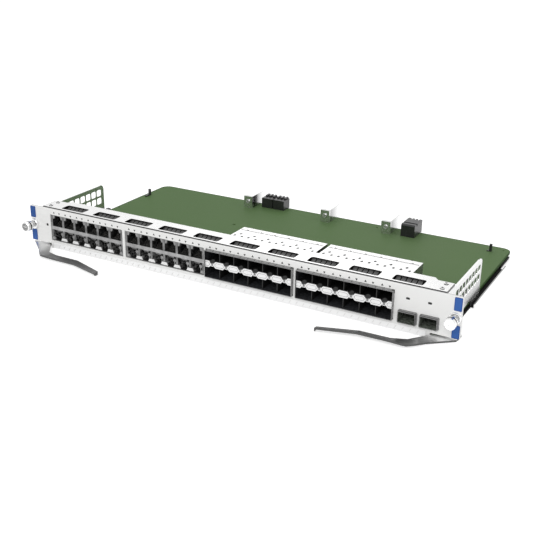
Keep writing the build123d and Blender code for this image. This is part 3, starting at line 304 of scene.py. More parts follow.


# tin plate of the cages: pale tops, with painted shade in the vents, under the top plate, on the side walls,
# in the mouths and inside
def cageTin(name, middles, low, high, inside):
    look = {"light": grey(0.92), "dark": grey(0.84), "mouth": grey(0.26), "side": grey(0.20),
            "vent": grey(0.12), "ventReach": 1.2, "ventSquash": 0.6, "shadowUnderPlate": grey(0.02),
            "coveredBack": 1.5, "skin": 0.08, "mouthDeep": 0.3, "wall": 0.3,
            "vents": [(-0.7, 47.0), (3.7, 41.0), (-4.0, 41.5)],
            "hollowY": (low[1] + 0.1, high[1] - 0.15)}
    f = Finish(name)
    cloud = f.noise(60.0, 3.0)
    fine = f.noise(1200.0, 2.0)
    tin = f.mixed(cloud, look["dark"], look["light"])
    top = f.along("Z") > (high[2] - look["skin"]) * mm
    for middle in middles:
        block = f.near("X", middle, (high[0] - low[0]) / 2)
        for ventX, ventY in look["vents"]:
            acrossX = f.along("X").fromRepeat(middle + cagePitch / 2 + ventX, cagePitch)
            acrossY = (f.along("Y") - ventY * mm) * look["ventSquash"]
            # painted shade in the vent holes
            vent = (acrossX * acrossX + acrossY * acrossY) < (look["ventReach"] * mm) ** 2
            tin = f.mixed(vent * block * top, tin, look["vent"])
    # painted shadow where the top plate covers the cage top
    shadowUnderPlate = top * f.between("Y", panelLow[1], plateHigh[1] - look["coveredBack"])
    tin = f.mixed(shadowUnderPlate, tin, look["shadowUnderPlate"])
    # painted shade on the side walls and in the mouth
    tin = f.mixed(f.broad("X"), tin, look["side"])
    tin = f.mixed(f.along("Y") < (panelLow[1] + look["mouthDeep"]) * mm, tin, look["mouth"])
    # painted shade inside the hollow
    shadedHollow = f.inBlocks(middles, low, high, look["hollowY"], look["wall"])
    deep = f.mixed(f.share(f.noise(380.0, 3.0), 0.3, 0.75), inside[0], inside[1])
    return f.surface(Base_Color=f.mixed(shadedHollow, tin, deep), Metallic=f.spread(shadedHollow, 0.85, 0.0),
                     Roughness=f.spread(shadedHollow, 0.24, 0.8), Normal=f.bumped(fine, 0.04, 0.0002),
                     Specular_IOR_Level=0.2)


# walls between the cage columns: painted shade, deeper still behind their front edges
def shadedDividerTin():
    look = {"light": grey(0.045), "dark": grey(0.028), "deepShadeLight": grey(0.011), "deepShadeDark": grey(0.006),
            "frontY": -2.8, "rough": (0.5, 0.7)}
    f = Finish("shadedDividerTin")
    cloud = f.noise(80.0, 3.0)
    front = f.mixed(cloud, look["dark"], look["light"])
    deep = f.mixed(cloud, look["deepShadeDark"], look["deepShadeLight"])
    # painted shade over the walls, deeper behind the front edge
    colour = f.mixed(f.along("Y") < look["frontY"] * mm, deep, front)
    return f.grained(colour, cloud, look, Specular_IOR_Level=0.2)


# shield of the jack blocks: painted shade on the front, with painted light making the bar between the rows
# lighter than the posts, and painted shade inside
def shieldTin():
    look = {"post": grey(0.24), "postDark": grey(0.13), "bar": grey(0.40), "barDark": grey(0.30),
            "inside": grey(0.02), "outside": grey(0.75), "outsideDark": grey(0.62), "barReach": 1.75,
            "frontDeep": 0.3, "wall": 0.2, "hiddenY": (jackLow[1] + 0.45, jackHigh[1] - 0.2),
            "rough": (0.3, 0.45), "bump": (0.05, 0.0002)}
    f = Finish("shieldTin")
    cloud = f.noise(260.0, 3.0)
    fine = f.noise(1200.0, 2.0)
    patches = f.share(cloud, 0.35, 0.65)
    post = f.mixed(patches, look["postDark"], look["post"])
    bar = f.mixed(patches, look["barDark"], look["bar"])
    # painted light on the bar, painted shade on the posts
    tin = f.mixed(f.near("Z", jackMidZ, look["barReach"]), post, bar)
    outside = f.mixed(cloud, look["outsideDark"], look["outside"])
    tin = f.mixed(f.along("Y") > look["frontDeep"] * mm, tin, outside)
    # painted shade inside the hollow of the blocks
    hiddenShade = f.inBlocks(jackMiddles, jackLow, jackHigh, look["hiddenY"], look["wall"])
    return f.grained(f.mixed(hiddenShade, tin, look["inside"]), fine, look, Metallic=f.spread(hiddenShade, 0.75, 0.0),
                     Specular_IOR_Level=0.2)


# lever steel: a painted reflection runs from pale at the pivot to darker along the arm, with painted shade on
# the side faces
def leverSteel():
    look = {"stops": [(0.0, grey(0.26)), (0.16, grey(0.22)), (0.36, grey(0.17)), (0.50, grey(0.20)),
                      (0.62, grey(0.16)), (0.72, grey(0.36)), (0.80, grey(0.76)), (1.0, grey(0.90))],
            "tip": 110.0, "pivot": 215.0, "edge": grey(0.09), "shadow": grey(0.16), "sideFacingBelow": 0.5,
            "rough": (0.24, 0.36), "bump": (0.04, 0.0002)}
    f = Finish("leverSteel")
    cloud = f.noise(40.0, 4.0)
    fine = f.noise(1500.0, 2.0)
    # painted reflection along the arm, pale at the pivot
    steel = f.ramp(f.share(f.along("X").size(), look["tip"] * mm, look["pivot"] * mm), look["stops"])
    steel = f.mixed(f.spread(cloud, 0.0, 0.3, 0.35, 0.7), steel, look["shadow"])
    # painted shade on the faces that do not look up or down
    cut = f.facing("Z").size() < look["sideFacingBelow"]
    return f.grained(f.mixed(cut, steel, look["edge"]), fine, look, Metallic=0.8)


# knobs: polished sides, painted shade in the groove, and on the left one a painted reflection that darkens
# the face inside a paler rim
def knobNickel():
    look = {"light": grey(0.92), "dark": grey(0.82), "groove": grey(0.02), "grooveStart": 3.2,
            "grooveEnd": 4.6, "face": grey(0.34), "faceDark": grey(0.16), "faceDeep": 0.3,
            "faceRim": grey(0.75), "rimRadius": 3.7, "rough": (0.18, 0.28), "bump": (0.02, 0.0001)}
    f = Finish("knobNickel")
    cloud = f.noise(180.0, 3.0)
    fine = f.noise(2600.0, 2.0)
    front = spanOf("right_captive_screw")[0][1]
    metal = f.mixed(cloud, look["dark"], look["light"])
    # painted shade in the groove
    grooveShadeBand = f.between("Y", front + look["grooveStart"], front + look["grooveEnd"])
    metal = f.mixed(grooveShadeBand, metal, look["groove"])
    awayX = f.along("X").size() - middleOf("right_captive_screw", 0) * mm
    awayZ = f.along("Z")
    away = awayX * awayX + awayZ * awayZ
    # painted reflection on the left knob's face, with a paler rim
    turned = f.mixed(f.noise(700.0), look["faceDark"], look["face"])
    turned = f.mixed(away > (look["rimRadius"] * mm) ** 2, turned, look["faceRim"])
    leftFace = (f.along("Y") < (front + look["faceDeep"]) * mm) * (f.along("X") < 0.0)
    return f.grained(f.mixed(leftFace, metal, turned), fine, look, Metallic=1.0)


# plate screws: bright heads, painted shade where the cross recess goes in
def recessedSteel():
    look = {"light": grey(0.88), "dark": grey(0.72), "recess": grey(0.02), "faceLift": 0.45,
            "rough": (0.25, 0.4), "bump": (0.05, 0.0001)}
    f = Finish("recessedSteel")
    fine = f.noise(1600.0, 2.0)
    head = f.mixed(fine, look["dark"], look["light"])
    # painted shade in the cross recess
    recessShadeMask = f.along("Z") < (plateHigh[2] + look["faceLift"]) * mm
    return f.grained(f.mixed(recessShadeMask, head, look["recess"]), fine, look, Metallic=0.8)


# jack housings: painted specks of light on the moulded insides, more in the lower row
def jackMoulding():
    look = {"dark": grey(0.007), "upper": grey(0.05), "lower": grey(0.24), "rough": (0.35, 0.5)}
    f = Finish("jackMoulding")
    speck = f.share(f.noise(420.0, 3.0), 0.42, 0.66)
    # painted light, stronger in the lower row
    light = f.mixed(f.along("Z") < jackMidZ * mm, look["upper"], look["lower"])
    return f.grained(f.mixed(speck, look["dark"], light), f.noise(2400.0), look, Specular_IOR_Level=0.3)


# cage windows: white faces, painted shade in the groove and on the rims behind
def windowMoulding():
    look = {"light": grey(0.92), "dark": grey(0.86), "groove": grey(0.30), "faceDeep": 0.2,
            "rough": (0.25, 0.4)}
    f = Finish("windowMoulding")
    cloud = f.noise(160.0, 2.0)
    front = spanOf("left_cage_bezel")[0][1]
    # painted shade behind the face
    behind = f.along("Y") > (front + look["faceDeep"]) * mm
    face = f.mixed(cloud, look["dark"], look["light"])
    return f.grained(f.mixed(behind, face, look["groove"]), cloud, look, Specular_IOR_Level=0.2)


# end strips: blue with a darker rim, and painted shade over the whole upper left one
def blueStrip():
    look = {"light": shade(0.040, 0.125, 0.400), "dark": shade(0.028, 0.098, 0.345),
            "rim": shade(0.014, 0.062, 0.27), "upperLeftShade": shade(0.018, 0.075, 0.27), "fromScrew": 1.5,
            "middleZ": 11.7, "halfX": 3.1, "halfZ": 5.6, "rimWide": 0.55, "rough": (0.4, 0.5),
            "bump": (0.05, 0.0001)}
    f = Finish("blueStrip")
    cloud = f.noise(70.0, 2.0)
    fine = f.noise(2000.0, 2.0)
    middleX = middleOf("right_captive_screw", 0) + look["fromScrew"]
    blue = f.mixed(cloud, look["dark"], look["light"])
    # painted shade on the upper left strip
    blue = f.mixed((f.along("X") < 0.0) * (f.along("Z") > 0.0), blue, look["upperLeftShade"])
    offX = (f.along("X").size() - middleX * mm).size() > (look["halfX"] - look["rimWide"]) * mm
    offZ = (f.along("Z").size() - look["middleZ"] * mm).size() > (look["halfZ"] - look["rimWide"]) * mm
    return f.grained(f.mixed(offX.higher(offZ), blue, look["rim"]), fine, look, Specular_IOR_Level=0.25)


# lower spring gasket: pale fingers, with painted shade on their sides along the slots
def springStrip():
    look = {"light": grey(0.96), "dark": grey(0.91), "slot": grey(0.60), "rough": (0.35, 0.5)}
    f = Finish("springStrip")
    cloud = f.noise(120.0, 3.0)
    finger = f.mixed(cloud, look["dark"], look["light"])
    # painted shade on the finger sides that look along X
    return f.grained(f.mixed(f.broad("X"), finger, look["slot"]), cloud, look, Metallic=0.1)


# board: green that painted light makes paler to the right, with a dark rim
def solderResist():
    look = {"left": shade(0.092, 0.158, 0.062), "right": shade(0.114, 0.178, 0.081), "lightFade": (-0.18, 0.2),
            "mottle": shade(0.100, 0.172, 0.068), "rim": shade(0.040, 0.080, 0.025), "rimWidth": 1.0,
            "rough": (0.45, 0.6), "bump": (0.05, 0.0001)}
    f = Finish("solderResist")
    cloud = f.noise(9.0, 4.0)
    fine = f.noise(700.0, 3.0)
    # painted light: the green paler towards the right
    green = f.mixed(f.share(f.along("X"), *look["lightFade"]), look["left"], look["right"])
    green = f.mixed(f.spread(cloud, 0.0, 0.6, 0.35, 0.65), green, look["mottle"])
    rimX = (f.along("X") < (boardLow[0] + look["rimWidth"]) * mm).higher(
        f.along("X") > (boardHigh[0] - look["rimWidth"]) * mm)
    rimY = f.along("Y") > (boardHigh[1] - look["rimWidth"]) * mm
    return f.grained(f.mixed(rimX.higher(rimY), green, look["rim"]), fine, look, Specular_IOR_Level=0.04)


# rear guides: satin blocks, blades with a painted reflection that runs from dark to bright at their ends
def castGuide():
    look = {"light": grey(0.72), "dark": grey(0.62), "bladeLeft": grey(0.05), "bladeOther": grey(0.35),
            "bladeEnd": grey(0.95), "leftOf": -70.0, "bladeStart": 3.0, "bladeStop": 4.0,
            "rough": (0.14, 0.24), "bump": (0.04, 0.0002)}
    f = Finish("castGuide")
    cloud = f.noise(120.0, 3.0)
    fine = f.noise(1400.0, 2.0)
    low, high = spanOf("rear_guides")
    start, end = (low[1] + look["bladeStart"]) * mm, (high[1] - look["bladeStop"]) * mm
    # painted reflection on the blades, darkest near the front of the left guide
    nearEndReflection = f.mixed(f.along("X") < look["leftOf"] * mm, look["bladeOther"], look["bladeLeft"])
    blade = f.mixed(f.share(f.along("Y"), start, end), nearEndReflection, look["bladeEnd"])
    face = f.mixed(cloud, look["dark"], look["light"])
    isBlade = f.broad("X") * (f.along("Y") > start)
    return f.grained(f.mixed(isBlade, face, blade), fine, look, Metallic=0.95)


# finishes with nothing but two close colours in patches, and roughness and bump from a grain
plainLooks = {
    "polishedNickel": {"light": grey(0.90), "dark": grey(0.80), "cloud": (180.0, 3.0), "rough": (0.2, 0.3),
                       "grain": (2600.0, 2.0), "bump": (0.02, 0.0001), "more": {"Metallic": 1.0}},
    "screwSteel": {"light": grey(0.70), "dark": grey(0.50), "cloud": (1600.0, 2.0), "rough": (0.25, 0.4),
                   "bump": (0.05, 0.0001), "more": {"Metallic": 0.9}},
    "blackMoulding": {"light": shade(0.020, 0.020, 0.021), "dark": shade(0.007, 0.007, 0.008),
                      "cloud": (90.0, 3.0), "rough": (0.26, 0.38), "grain": (2400.0, 2.0),
                      "bump": (0.06, 0.0001), "more": {"Specular_IOR_Level": 0.6}},
    # light plastic in a shaded copy and a lit copy: painted shade in the first, painted light in the second
    "shadedMilk": {"light": grey(0.38), "dark": grey(0.228), "cloud": (160.0, 2.0), "rough": (0.25, 0.4),
                 "more": {"Specular_IOR_Level": 0.3}},
    "litMilk": {"light": grey(0.85), "dark": grey(0.765), "cloud": (160.0, 2.0), "rough": (0.25, 0.4),
                   "more": {"Specular_IOR_Level": 0.3}},
    "smokedLens": {"light": grey(0.035), "dark": grey(0.015), "cloud": (400.0, 2.0), "rough": (0.25, 0.4),
                   "more": {"Specular_IOR_Level": 0.3}},
    # black insulating film; the same black is painted shade on the slot spring backs and the block under the
    # board's edge
    "filmAndShadeBlack": {"light": grey(0.012), "dark": grey(0.006), "cloud": (30.0, 3.0), "rough": (0.6, 0.75),
                      "more": {"Specular_IOR_Level": 0.15}},
    "turnedBrass": {"light": shade(0.72, 0.57, 0.30), "dark": shade(0.55, 0.42, 0.20),
                    "cloud": (900.0, 2.0), "rough": (0.22, 0.34), "more": {"Metallic": 1.0}},
    # contact wires greyed and darkened as painted shade
    "shadedContactWire": {"light": shade(0.36, 0.35, 0.33), "dark": shade(0.20, 0.195, 0.185),
                    "cloud": (900.0, 2.0), "rough": (0.25, 0.4), "more": {"Metallic": 0.8}},
}
# springs and tongues that sit in shadow, each with its level of grey
darkSprings = {"slotSpring": 0.10, "mouthSpring": 0.36, "collarSpring": 0.30, "tongueTin": 0.13,
               "trayMetal": 0.34}
for name, level in darkSprings.items():
    plainLooks[name] = {"light": grey(level), "dark": grey(level * 0.7), "cloud": (300.0, 3.0),
                        "rough": (0.35, 0.5), "more": {"Metallic": 0.6}}


def plainFinish(name, look):
    f = Finish(name)
    cloud = f.noise(*look["cloud"])
    grain = f.noise(*look["grain"]) if "grain" in look else cloud
    return f.grained(f.mixed(cloud, look["dark"], look["light"]), grain, look, **look["more"])


plain = {name: plainFinish(name, look) for name, look in plainLooks.items()}
# painted shade for the cage insides; the green in the single cages is a painted reflection of the board
tinInsideShade = (shade(0.006, 0.006, 0.007), shade(0.040, 0.042, 0.047))
greenInsideShade = (shade(0.010, 0.016, 0.008), shade(0.210, 0.230, 0.200))
finishes = {
    "panel_paint": powderCoat(), "zinc_plate": platedSheet(), "steel_screws": plain["screwSteel"],
    "nickel": plain["polishedNickel"], "lever_steel": leverSteel(),
    "cage_metal": cageTin("cageTin", cageMiddles, cageLow, cageHigh, tinInsideShade),
    "black_plastic": plain["blackMoulding"], "light_plastic": plain["shadedMilk"],
    "lens_plastic": plain["smokedLens"], "blue_plastic": blueStrip(), "gasket_metal": springStrip(),
    "board_green": solderResist(), "insulator": plain["filmAndShadeBlack"],
    "standoff_brass": plain["turnedBrass"], "contact_gold": plain["shadedContactWire"],
    "guide_metal": castGuide(),
}
ownFinish = {"top_plate": platedPlate(), "slot_spring_strips": plain["slotSpring"],
             "single_cage_collars": plain["collarSpring"]}
dividers = shadedDividerTin()
pairFinish = {
    "jack_shield": shieldTin(), "jack_housing": jackMoulding(), "side_bracket": bracketSheet(),
    "single_cage": cageTin("singleTin", singleMiddles, singleLow, singleHigh, greenInsideShade),
    "cage_dividers": dividers, "cage_bands": dividers, "captive_screw": knobNickel(),
}
for name, finish in pairFinish.items():
    for side in sides:
        ownFinish[side + "_" + name] = finish
for part in frame["record"]["subparts"]:
    cadNode = nodes[part["node"]]
    cadNode.data.materials.clear()
    cadNode.data.materials.append(ownFinish.get(part["node"], finishes[part["material_slot"]]))
print("finishes on", len(nodes), "nodes")


# working by hand: start from a primitive, pick faces by the way they look, shape them
def clearSelection():
    if bpy.context.mode != "OBJECT":
        bpy.ops.object.mode_set(mode="OBJECT")
    bpy.ops.object.select_all(action="DESELECT")


def makeActive(piece):
    clearSelection()
    piece.select_set(True)
    bpy.context.view_layer.objects.active = piece


def editAll(piece):
    makeActive(piece)
    bpy.ops.object.mode_set(mode="EDIT")
    bpy.ops.mesh.select_all(action="SELECT")


def leaveEdit():
    bpy.ops.object.mode_set(mode="OBJECT")


def settle(name):
    piece = bpy.context.object
    piece.name = name
    bpy.ops.object.transform_apply(location=True, rotation=True, scale=True)
    return piece


def startBox(name, size, centre):
    clearSelection()
    bpy.ops.mesh.primitive_cube_add(size=1.0, location=[c * mm for c in centre])
    bpy.context.object.scale = [s * mm for s in size]
    return settle(name)


def startRound(name, radius, depth, centre, axis="Z", sideCount=24):
    clearSelection()
    turn = (math.pi / 2, 0, 0) if axis == "Y" else (0, 0, 0)
    bpy.ops.mesh.primitive_cylinder_add(vertices=sideCount, radius=radius * mm, depth=depth * mm,
                                        location=[c * mm for c in centre], rotation=turn)
    return settle(name)


# faces that look along an axis, way 1 for up it and -1 for down it
def pickFaces(piece, axis, way, least=0.9):
    number = "XYZ".index(axis)
    bpy.context.view_layer.objects.active = piece
    bpy.ops.object.mode_set(mode="EDIT")
    bpy.ops.mesh.select_mode(type="FACE")
    bpy.ops.mesh.select_all(action="DESELECT")
    leaveEdit()
    for face in piece.data.polygons:
        face.select = face.normal[number] * way > least
    bpy.ops.object.mode_set(mode="EDIT")


def push(x, y, z):
    bpy.ops.mesh.extrude_region_move(TRANSFORM_OT_translate={"value": (x * mm, y * mm, z * mm)})


def shiftPicked(x, y, z):
    bpy.ops.transform.translate(value=(x * mm, y * mm, z * mm))


def resizePicked(x, y, z):
    bpy.ops.transform.resize(value=(x, y, z))


def inset(thickness):
    bpy.ops.mesh.inset(thickness=thickness * mm)


def softenAll(piece, width, steps=2):
    makeActive(piece)
    bevel = piece.modifiers.new("soften", "BEVEL")
    bevel.width = width * mm
    bevel.segments = steps
    bevel.limit_method = "ANGLE"
    bevel.angle_limit = math.radians(30)
    bpy.ops.object.modifier_apply(modifier="soften")


def discard(*pieces):
    for piece in pieces:
        bpy.data.objects.remove(piece, do_unlink=True)


def carve(piece, cutter):
    makeActive(piece)
    cut = piece.modifiers.new("carve", "BOOLEAN")
    cut.operation = "DIFFERENCE"
    cut.solver = "EXACT"
    cut.object = cutter
    bpy.ops.object.modifier_apply(modifier="carve")
    discard(cutter)


def moved(piece, x=0.0, y=0.0, z=0.0):
    piece.data.transform(Matrix.Translation((x * mm, y * mm, z * mm)))
    return piece


def copied(piece):
    made = piece.copy()
    made.data = piece.data.copy()
    bpy.context.scene.collection.objects.link(made)
    return made


def twin(piece, x=0.0, y=0.0, z=0.0):
    return moved(copied(piece), x, y, z)


def mirrored(piece, axis):
    made = copied(piece)
    made.data.transform(Matrix.Diagonal([-1.0 if name == axis else 1.0 for name in "XYZ"] + [1.0]))
    made.data.flip_normals()
    return made


# middles of a number of equal steps, spread evenly about a middle
def inRow(count, pitch, middle=0.0):
    return [middle + (i - (count - 1) / 2) * pitch for i in range(count)]


def joined(name, pieces):
    clearSelection()
    for piece in pieces:
        piece.select_set(True)
    bpy.context.view_layer.objects.active = pieces[0]
    bpy.ops.object.join()
    pieces[0].name = name
    return pieces[0]


def handOver(piece, finish, body="card", instead=(), smooth=35):
    editAll(piece)
    bpy.ops.mesh.normals_make_consistent(inside=False)
    leaveEdit()
    bpy.ops.object.shade_smooth_by_angle(angle=math.radians(smooth))
    piece.data.materials.clear()
    piece.data.materials.append(finish)
    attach(piece, body)
    if instead:
        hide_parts(*instead)


# six sided light windows and small blocks over the middle of each stacked cage
def cageWindows(side, middle):
    look = {"flat": 7.6, "point": 1.9, "tall": 6.1, "deep": 1.0, "recess": 0.5, "rim": 1.2, "groove": 0.3,
            "round": 0.08, "sharp": 0.3, "blockWide": 2.7, "blockTall": 3.4, "blockRim": 0.5}
    node = side + "_cage_bezel"
    centre = (0, middleOf(node, 1), middleOf(node, 2))
    window = startBox("window", (look["flat"], look["deep"], look["tall"]), centre)
    for way in (-1, 1):
        pickFaces(window, "X", way)
        push(way * look["point"], 0, 0)
        resizePicked(1, 1, look["sharp"])
        leaveEdit()
    pickFaces(window, "Y", -1)
    inset(look["rim"])
    push(0, look["recess"], 0)
    inset(look["groove"])
    push(0, -look["recess"], 0)
    leaveEdit()
    softenAll(window, look["round"], 1)
    block = startBox("block", (look["blockWide"], look["deep"], look["blockTall"]), centre)
    pickFaces(block, "Y", -1)
    inset(look["blockRim"])
    push(0, look["recess"], 0)
    leaveEdit()
    softenAll(block, look["round"], 1)
    gathered = [twin(window, x) for x in inRow(columns - 1, cagePitch, middle)]
    gathered += [twin(block, x) for x in inRow(columns, cagePitch, middle)]
    for way in (-1, 1):
        half = twin(window)
        editAll(half)
        bpy.ops.mesh.bisect(plane_co=(0, 0, 0), plane_no=(way, 0, 0), use_fill=True, clear_outer=True)
        leaveEdit()
        gathered.append(moved(half, middle + way * (cageHalf - sheetCage)))
    discard(window, block)
    handOver(joined(side + "_cage_windows", gathered), windowMilk, instead=(node,))


# spring strips in the slots of the top plate: dipped fingers between edges, with a folded back finished black
# as painted shade
def slotSprings():
    look = {"fingers": 5, "pitch": 4.6, "wide": 3.7, "thick": 0.3, "dip": 1.5, "flat": 2.2, "edge": 0.6,
            "bends": (0.35, 0.65), "frontDeep": 0.5, "frontLow": 0.02, "frontRound": 0.05,
            "backTall": 4.9, "backLong": 34.0, "backShift": -3.2, "backLow": 0.05, "backRound": 0.06,
            "backFold": (0, -0.5, -0.15), "shift": -1.3, "slots": 10, "slotPitch": 37.58, "middleY": 8.8,
            "halfSlot": 5.5}
    top = plateLow[2]
    run = look["halfSlot"] - look["flat"]
    reach = look["halfSlot"] + look["edge"]
    finger = startBox("finger", (look["wide"], 2 * look["flat"], look["thick"]),
                      (0, look["middleY"], top - look["dip"] - look["thick"] / 2))
    for way in (-1, 1):
        pickFaces(finger, "Y", way)
        for part in look["bends"]:
            push(0, way * run / 2, look["dip"] * part)
        push(0, way * look["edge"], 0)
        leaveEdit()
    back = startBox("back", (look["backLong"], look["thick"], look["backTall"]),
                    (look["backShift"], look["middleY"] + reach,
                     top - look["backLow"] - look["backTall"] / 2))
    pickFaces(back, "Z", -1)
    push(*look["backFold"])
    leaveEdit()
    softenAll(back, look["backRound"], 1)
    front = startBox("front", (look["pitch"] * look["fingers"], look["frontDeep"], look["thick"]),
                     (0, look["middleY"] - reach + look["frontDeep"] / 2,
                      top - look["thick"] / 2 - look["frontLow"]))
    softenAll(front, look["frontRound"], 1)
    strip = joined("strip", [twin(finger, x) for x in inRow(look["fingers"], look["pitch"])] + [front])
    slotPlaces = inRow(look["slots"], look["slotPitch"], look["shift"])
    springs = [twin(strip, x) for x in slotPlaces]
    backs = [twin(back, x) for x in slotPlaces]
    discard(finger, strip, back)
    handOver(joined("slot_spring_fingers", springs), plain["slotSpring"],
             instead=("slot_spring_strips",))
    # the backs are black as painted shade under the plate
    handOver(joined("slot_spring_backs", backs), plain["filmAndShadeBlack"])


# folded rear lip across the top of each stacked cage, with small tabs over it
def cageLips(side, middle):
    look = {"tall": 0.3, "deep": 0.5, "placeY": 57.5, "shorter": 2, "ridge": 0.5, "tabWide": 1.6,
            "tabDeep": 0.9, "tabBack": 1.2, "tabRim": 0.2, "tabDish": 0.1}
    midZ = cageHigh[2] + look["tall"] / 2
    lip = startBox("lip", (2 * cageHalf - look["shorter"], look["deep"], look["tall"]),
                   (middle, look["placeY"], midZ))
    pickFaces(lip, "Z", 1)
    resizePicked(1, look["ridge"], 1)
    leaveEdit()
    tab = startBox("tab", (look["tabWide"], look["tabDeep"], look["tall"]),
                   (0, look["placeY"] + look["tabBack"], midZ))
    pickFaces(tab, "Z", 1)
    inset(look["tabRim"])
    push(0, 0, -look["tabDish"])
    leaveEdit()
    gathered = [lip] + [twin(tab, x) for x in inRow(columns, cagePitch, middle)]
    discard(tab)
    handOver(joined(side + "_cage_lip", gathered), plain["mouthSpring"])


# black block under the right edge of the board, behind the tray: a dark piece put in as painted shade
def edgeShadeBlock():
    look = {"low": -20.9, "inner": 197.0, "outer": 204.2, "start": 166.0, "end": 195.0, "narrow": 0.8,
            "round": 0.4}
    low = (look["inner"], look["start"], look["low"])
    high = (look["outer"], look["end"], boardLow[2])
    shadeBlock = startBox("shadeBlock", [b - a for a, b in zip(low, high)], [(a + b) / 2 for a, b in zip(low, high)])
    pickFaces(shadeBlock, "Z", -1)
    resizePicked(look["narrow"], 1, 1)
    leaveEdit()
    softenAll(shadeBlock, look["round"])
    handOver(shadeBlock, plain["filmAndShadeBlack"])


# dark plug in the view hole at the left end of the panel
def viewPlug():
    look = {"radius": 1.36, "front": -1.7, "back": 1.5, "dish": 0.5, "rim": 0.35, "fromEnd": 20.7, "z": 1.2}
    plug = startRound("plug", look["radius"], look["back"] - look["front"],
                      (panelLow[0] + look["fromEnd"], (look["back"] + look["front"]) / 2, look["z"]), "Y", 20)
    pickFaces(plug, "Y", -1)
    inset(look["rim"])
    push(0, look["dish"], 0)
    leaveEdit()
    handOver(plug, plain["smokedLens"])


# small turned down lip at the end of each lever arm
def leverTips(side, way):
    look = {"alongX": 110.4, "y": -36.4, "wide": 4.4, "thick": 1.0, "top": -18.9, "low": -20.9,
            "curl": 0.5, "curlDrop": 0.3, "round": 0.25}
    tip = startBox(side + "_lever_tip", (look["thick"], look["wide"], look["top"] - look["low"]),
                   (way * look["alongX"], look["y"], (look["top"] + look["low"]) / 2))
    pickFaces(tip, "Z", -1)
    push(-way * look["curl"], 0, -look["curlDrop"])
    leaveEdit()
    softenAll(tip, look["round"])
    handOver(tip, finishes["lever_steel"], body=side + "_lever_body")


# spring fingers between the panel opening and the mouth of each stacked cage
def mouthFingers(side, middle):
    look = {"thick": 0.16, "gap": 0.45, "along": 12, "up": 4, "slope": 0.32, "sideSlope": 0.1,
            "corner": 1.6, "setBack": 0.25, "lift": 0.05, "sideLift": 0.02, "round": 0.05}
    front, back = cageLow[1] + look["setBack"], panelLow[1]
    deep, midY = back - front, (front + back) / 2
    stepX = (2 * cageHalf - 2 * look["corner"]) / look["along"]
    finger = startBox("finger", (stepX - look["gap"], deep, look["thick"]),
                      (0, midY, cageHigh[2] + look["thick"] / 2 + look["lift"]))
    pickFaces(finger, "Y", 1)
    shiftPicked(0, 0, look["slope"])
    leaveEdit()
    softenAll(finger, look["round"], 1)
    stepZ = (cageHigh[2] - cageLow[2] - 2 * look["corner"]) / look["up"]
    upright = startBox("upright", (look["thick"], deep, stepZ - look["gap"]),
                       (cageHalf + look["thick"] / 2 + look["sideLift"], midY, 0))
    pickFaces(upright, "Y", 1)
    shiftPicked(look["sideSlope"], 0, 0)
    leaveEdit()
    softenAll(upright, look["round"], 1)
    uprightOther = mirrored(upright, "X")
    gathered = [twin(finger, x) for x in inRow(look["along"], stepX, middle)]
    for z in inRow(look["up"], stepZ, (cageLow[2] + cageHigh[2]) / 2):
        gathered += [twin(upright, middle, 0, z), twin(uprightOther, middle, 0, z)]
    discard(finger, upright, uprightOther)
    handOver(joined(side + "_mouth_fingers", gathered), plain["mouthSpring"])


# latch tongue in each upper port of the stacked cages, a dished disc that rises to the back
def latchTongues(side, middle):
    look = {"radius": 2.2, "thick": 0.35, "midZ": 2.0, "midY": -3.3, "ring": 0.55, "dish": 0.2, "slope": 0.45}
    tongue = startRound("tongue", look["radius"], look["thick"], (0, look["midY"], look["midZ"]), "Z", 20)
    pickFaces(tongue, "Z", 1)
    inset(look["ring"])
    push(0, 0, -look["dish"])
    leaveEdit()
    for point in tongue.data.vertices:
        point.co.z += (point.co.y - look["midY"] * mm) * look["slope"]
    gathered = [twin(tongue, x) for x in inRow(columns, cagePitch, middle)]
    discard(tongue)
    handOver(joined(side + "_latch_tongues", gathered), plain["tongueTin"])


# light windows of the jacks: wedges in the upper corners, wide ones across the lower post feet
def jackLights():
    look = {"wide": 2.6, "tall": 3.2, "deep": 0.9, "setBack": 0.2, "drop": 0.1, "narrow": 0.55,
            "slant": 1.1, "round": 0.12, "aperture": 11.7, "overlap": 0.05, "footWide": 7.8,
            "footTop": 5.0, "footTall": 2.8, "footLift": 0.9, "footOut": 0.15, "footRound": 0.2,
            "endFrom": 40.6, "endWide": 0.5}
    front = jackLow[1]
    upperTop = jackHigh[2] - sheetCage - look["drop"]
    wedge = startBox("wedge", (look["wide"], look["deep"], look["tall"]),
                     (look["wide"] / 2, front + look["deep"] / 2 + look["setBack"],
                      upperTop - look["tall"] / 2))
    pickFaces(wedge, "Z", -1)
    resizePicked(look["narrow"], 1, 1)
    shiftPicked(-look["slant"] / 2, 0, 0)
    leaveEdit()
    softenAll(wedge, look["round"])
    wedgeOther = mirrored(wedge, "X")
    reach = look["aperture"] / 2 - look["overlap"]
    gathered = []
    for middle in jackMiddles:
        for x in inRow(columns, jackPitch, middle):
            gathered += [twin(wedge, x - reach), twin(wedgeOther, x + reach)]
    discard(wedge, wedgeOther)
    handOver(joined("jack_upper_lights", gathered), plain["shadedMilk"],
             instead=("jack_light_windows",))
    foot = startBox("foot", (look["footWide"], look["deep"], look["footTall"]),
                    (0, front - look["footOut"] + look["deep"] / 2,
                     jackLow[2] + look["footLift"] + look["footTall"] / 2))
    pickFaces(foot, "Z", 1)
    resizePicked(look["footTop"] / look["footWide"], 1, 1)
    leaveEdit()
    softenAll(foot, look["footRound"])
    gathered, ends = [], []
    for middle in jackMiddles:
        gathered += [twin(foot, x) for x in inRow(columns - 1, jackPitch, middle)]
        for way in (-1, 1):
            end = twin(foot)
            end.data.transform(Matrix.Diagonal((look["endWide"], 1, 1, 1)))
            ends.append(moved(end, middle + way * look["endFrom"]))
    discard(foot)
    handOver(joined("jack_lower_lights", gathered), plain["litMilk"])
    handOver(joined("jack_end_lights", ends), plain["shadedMilk"])


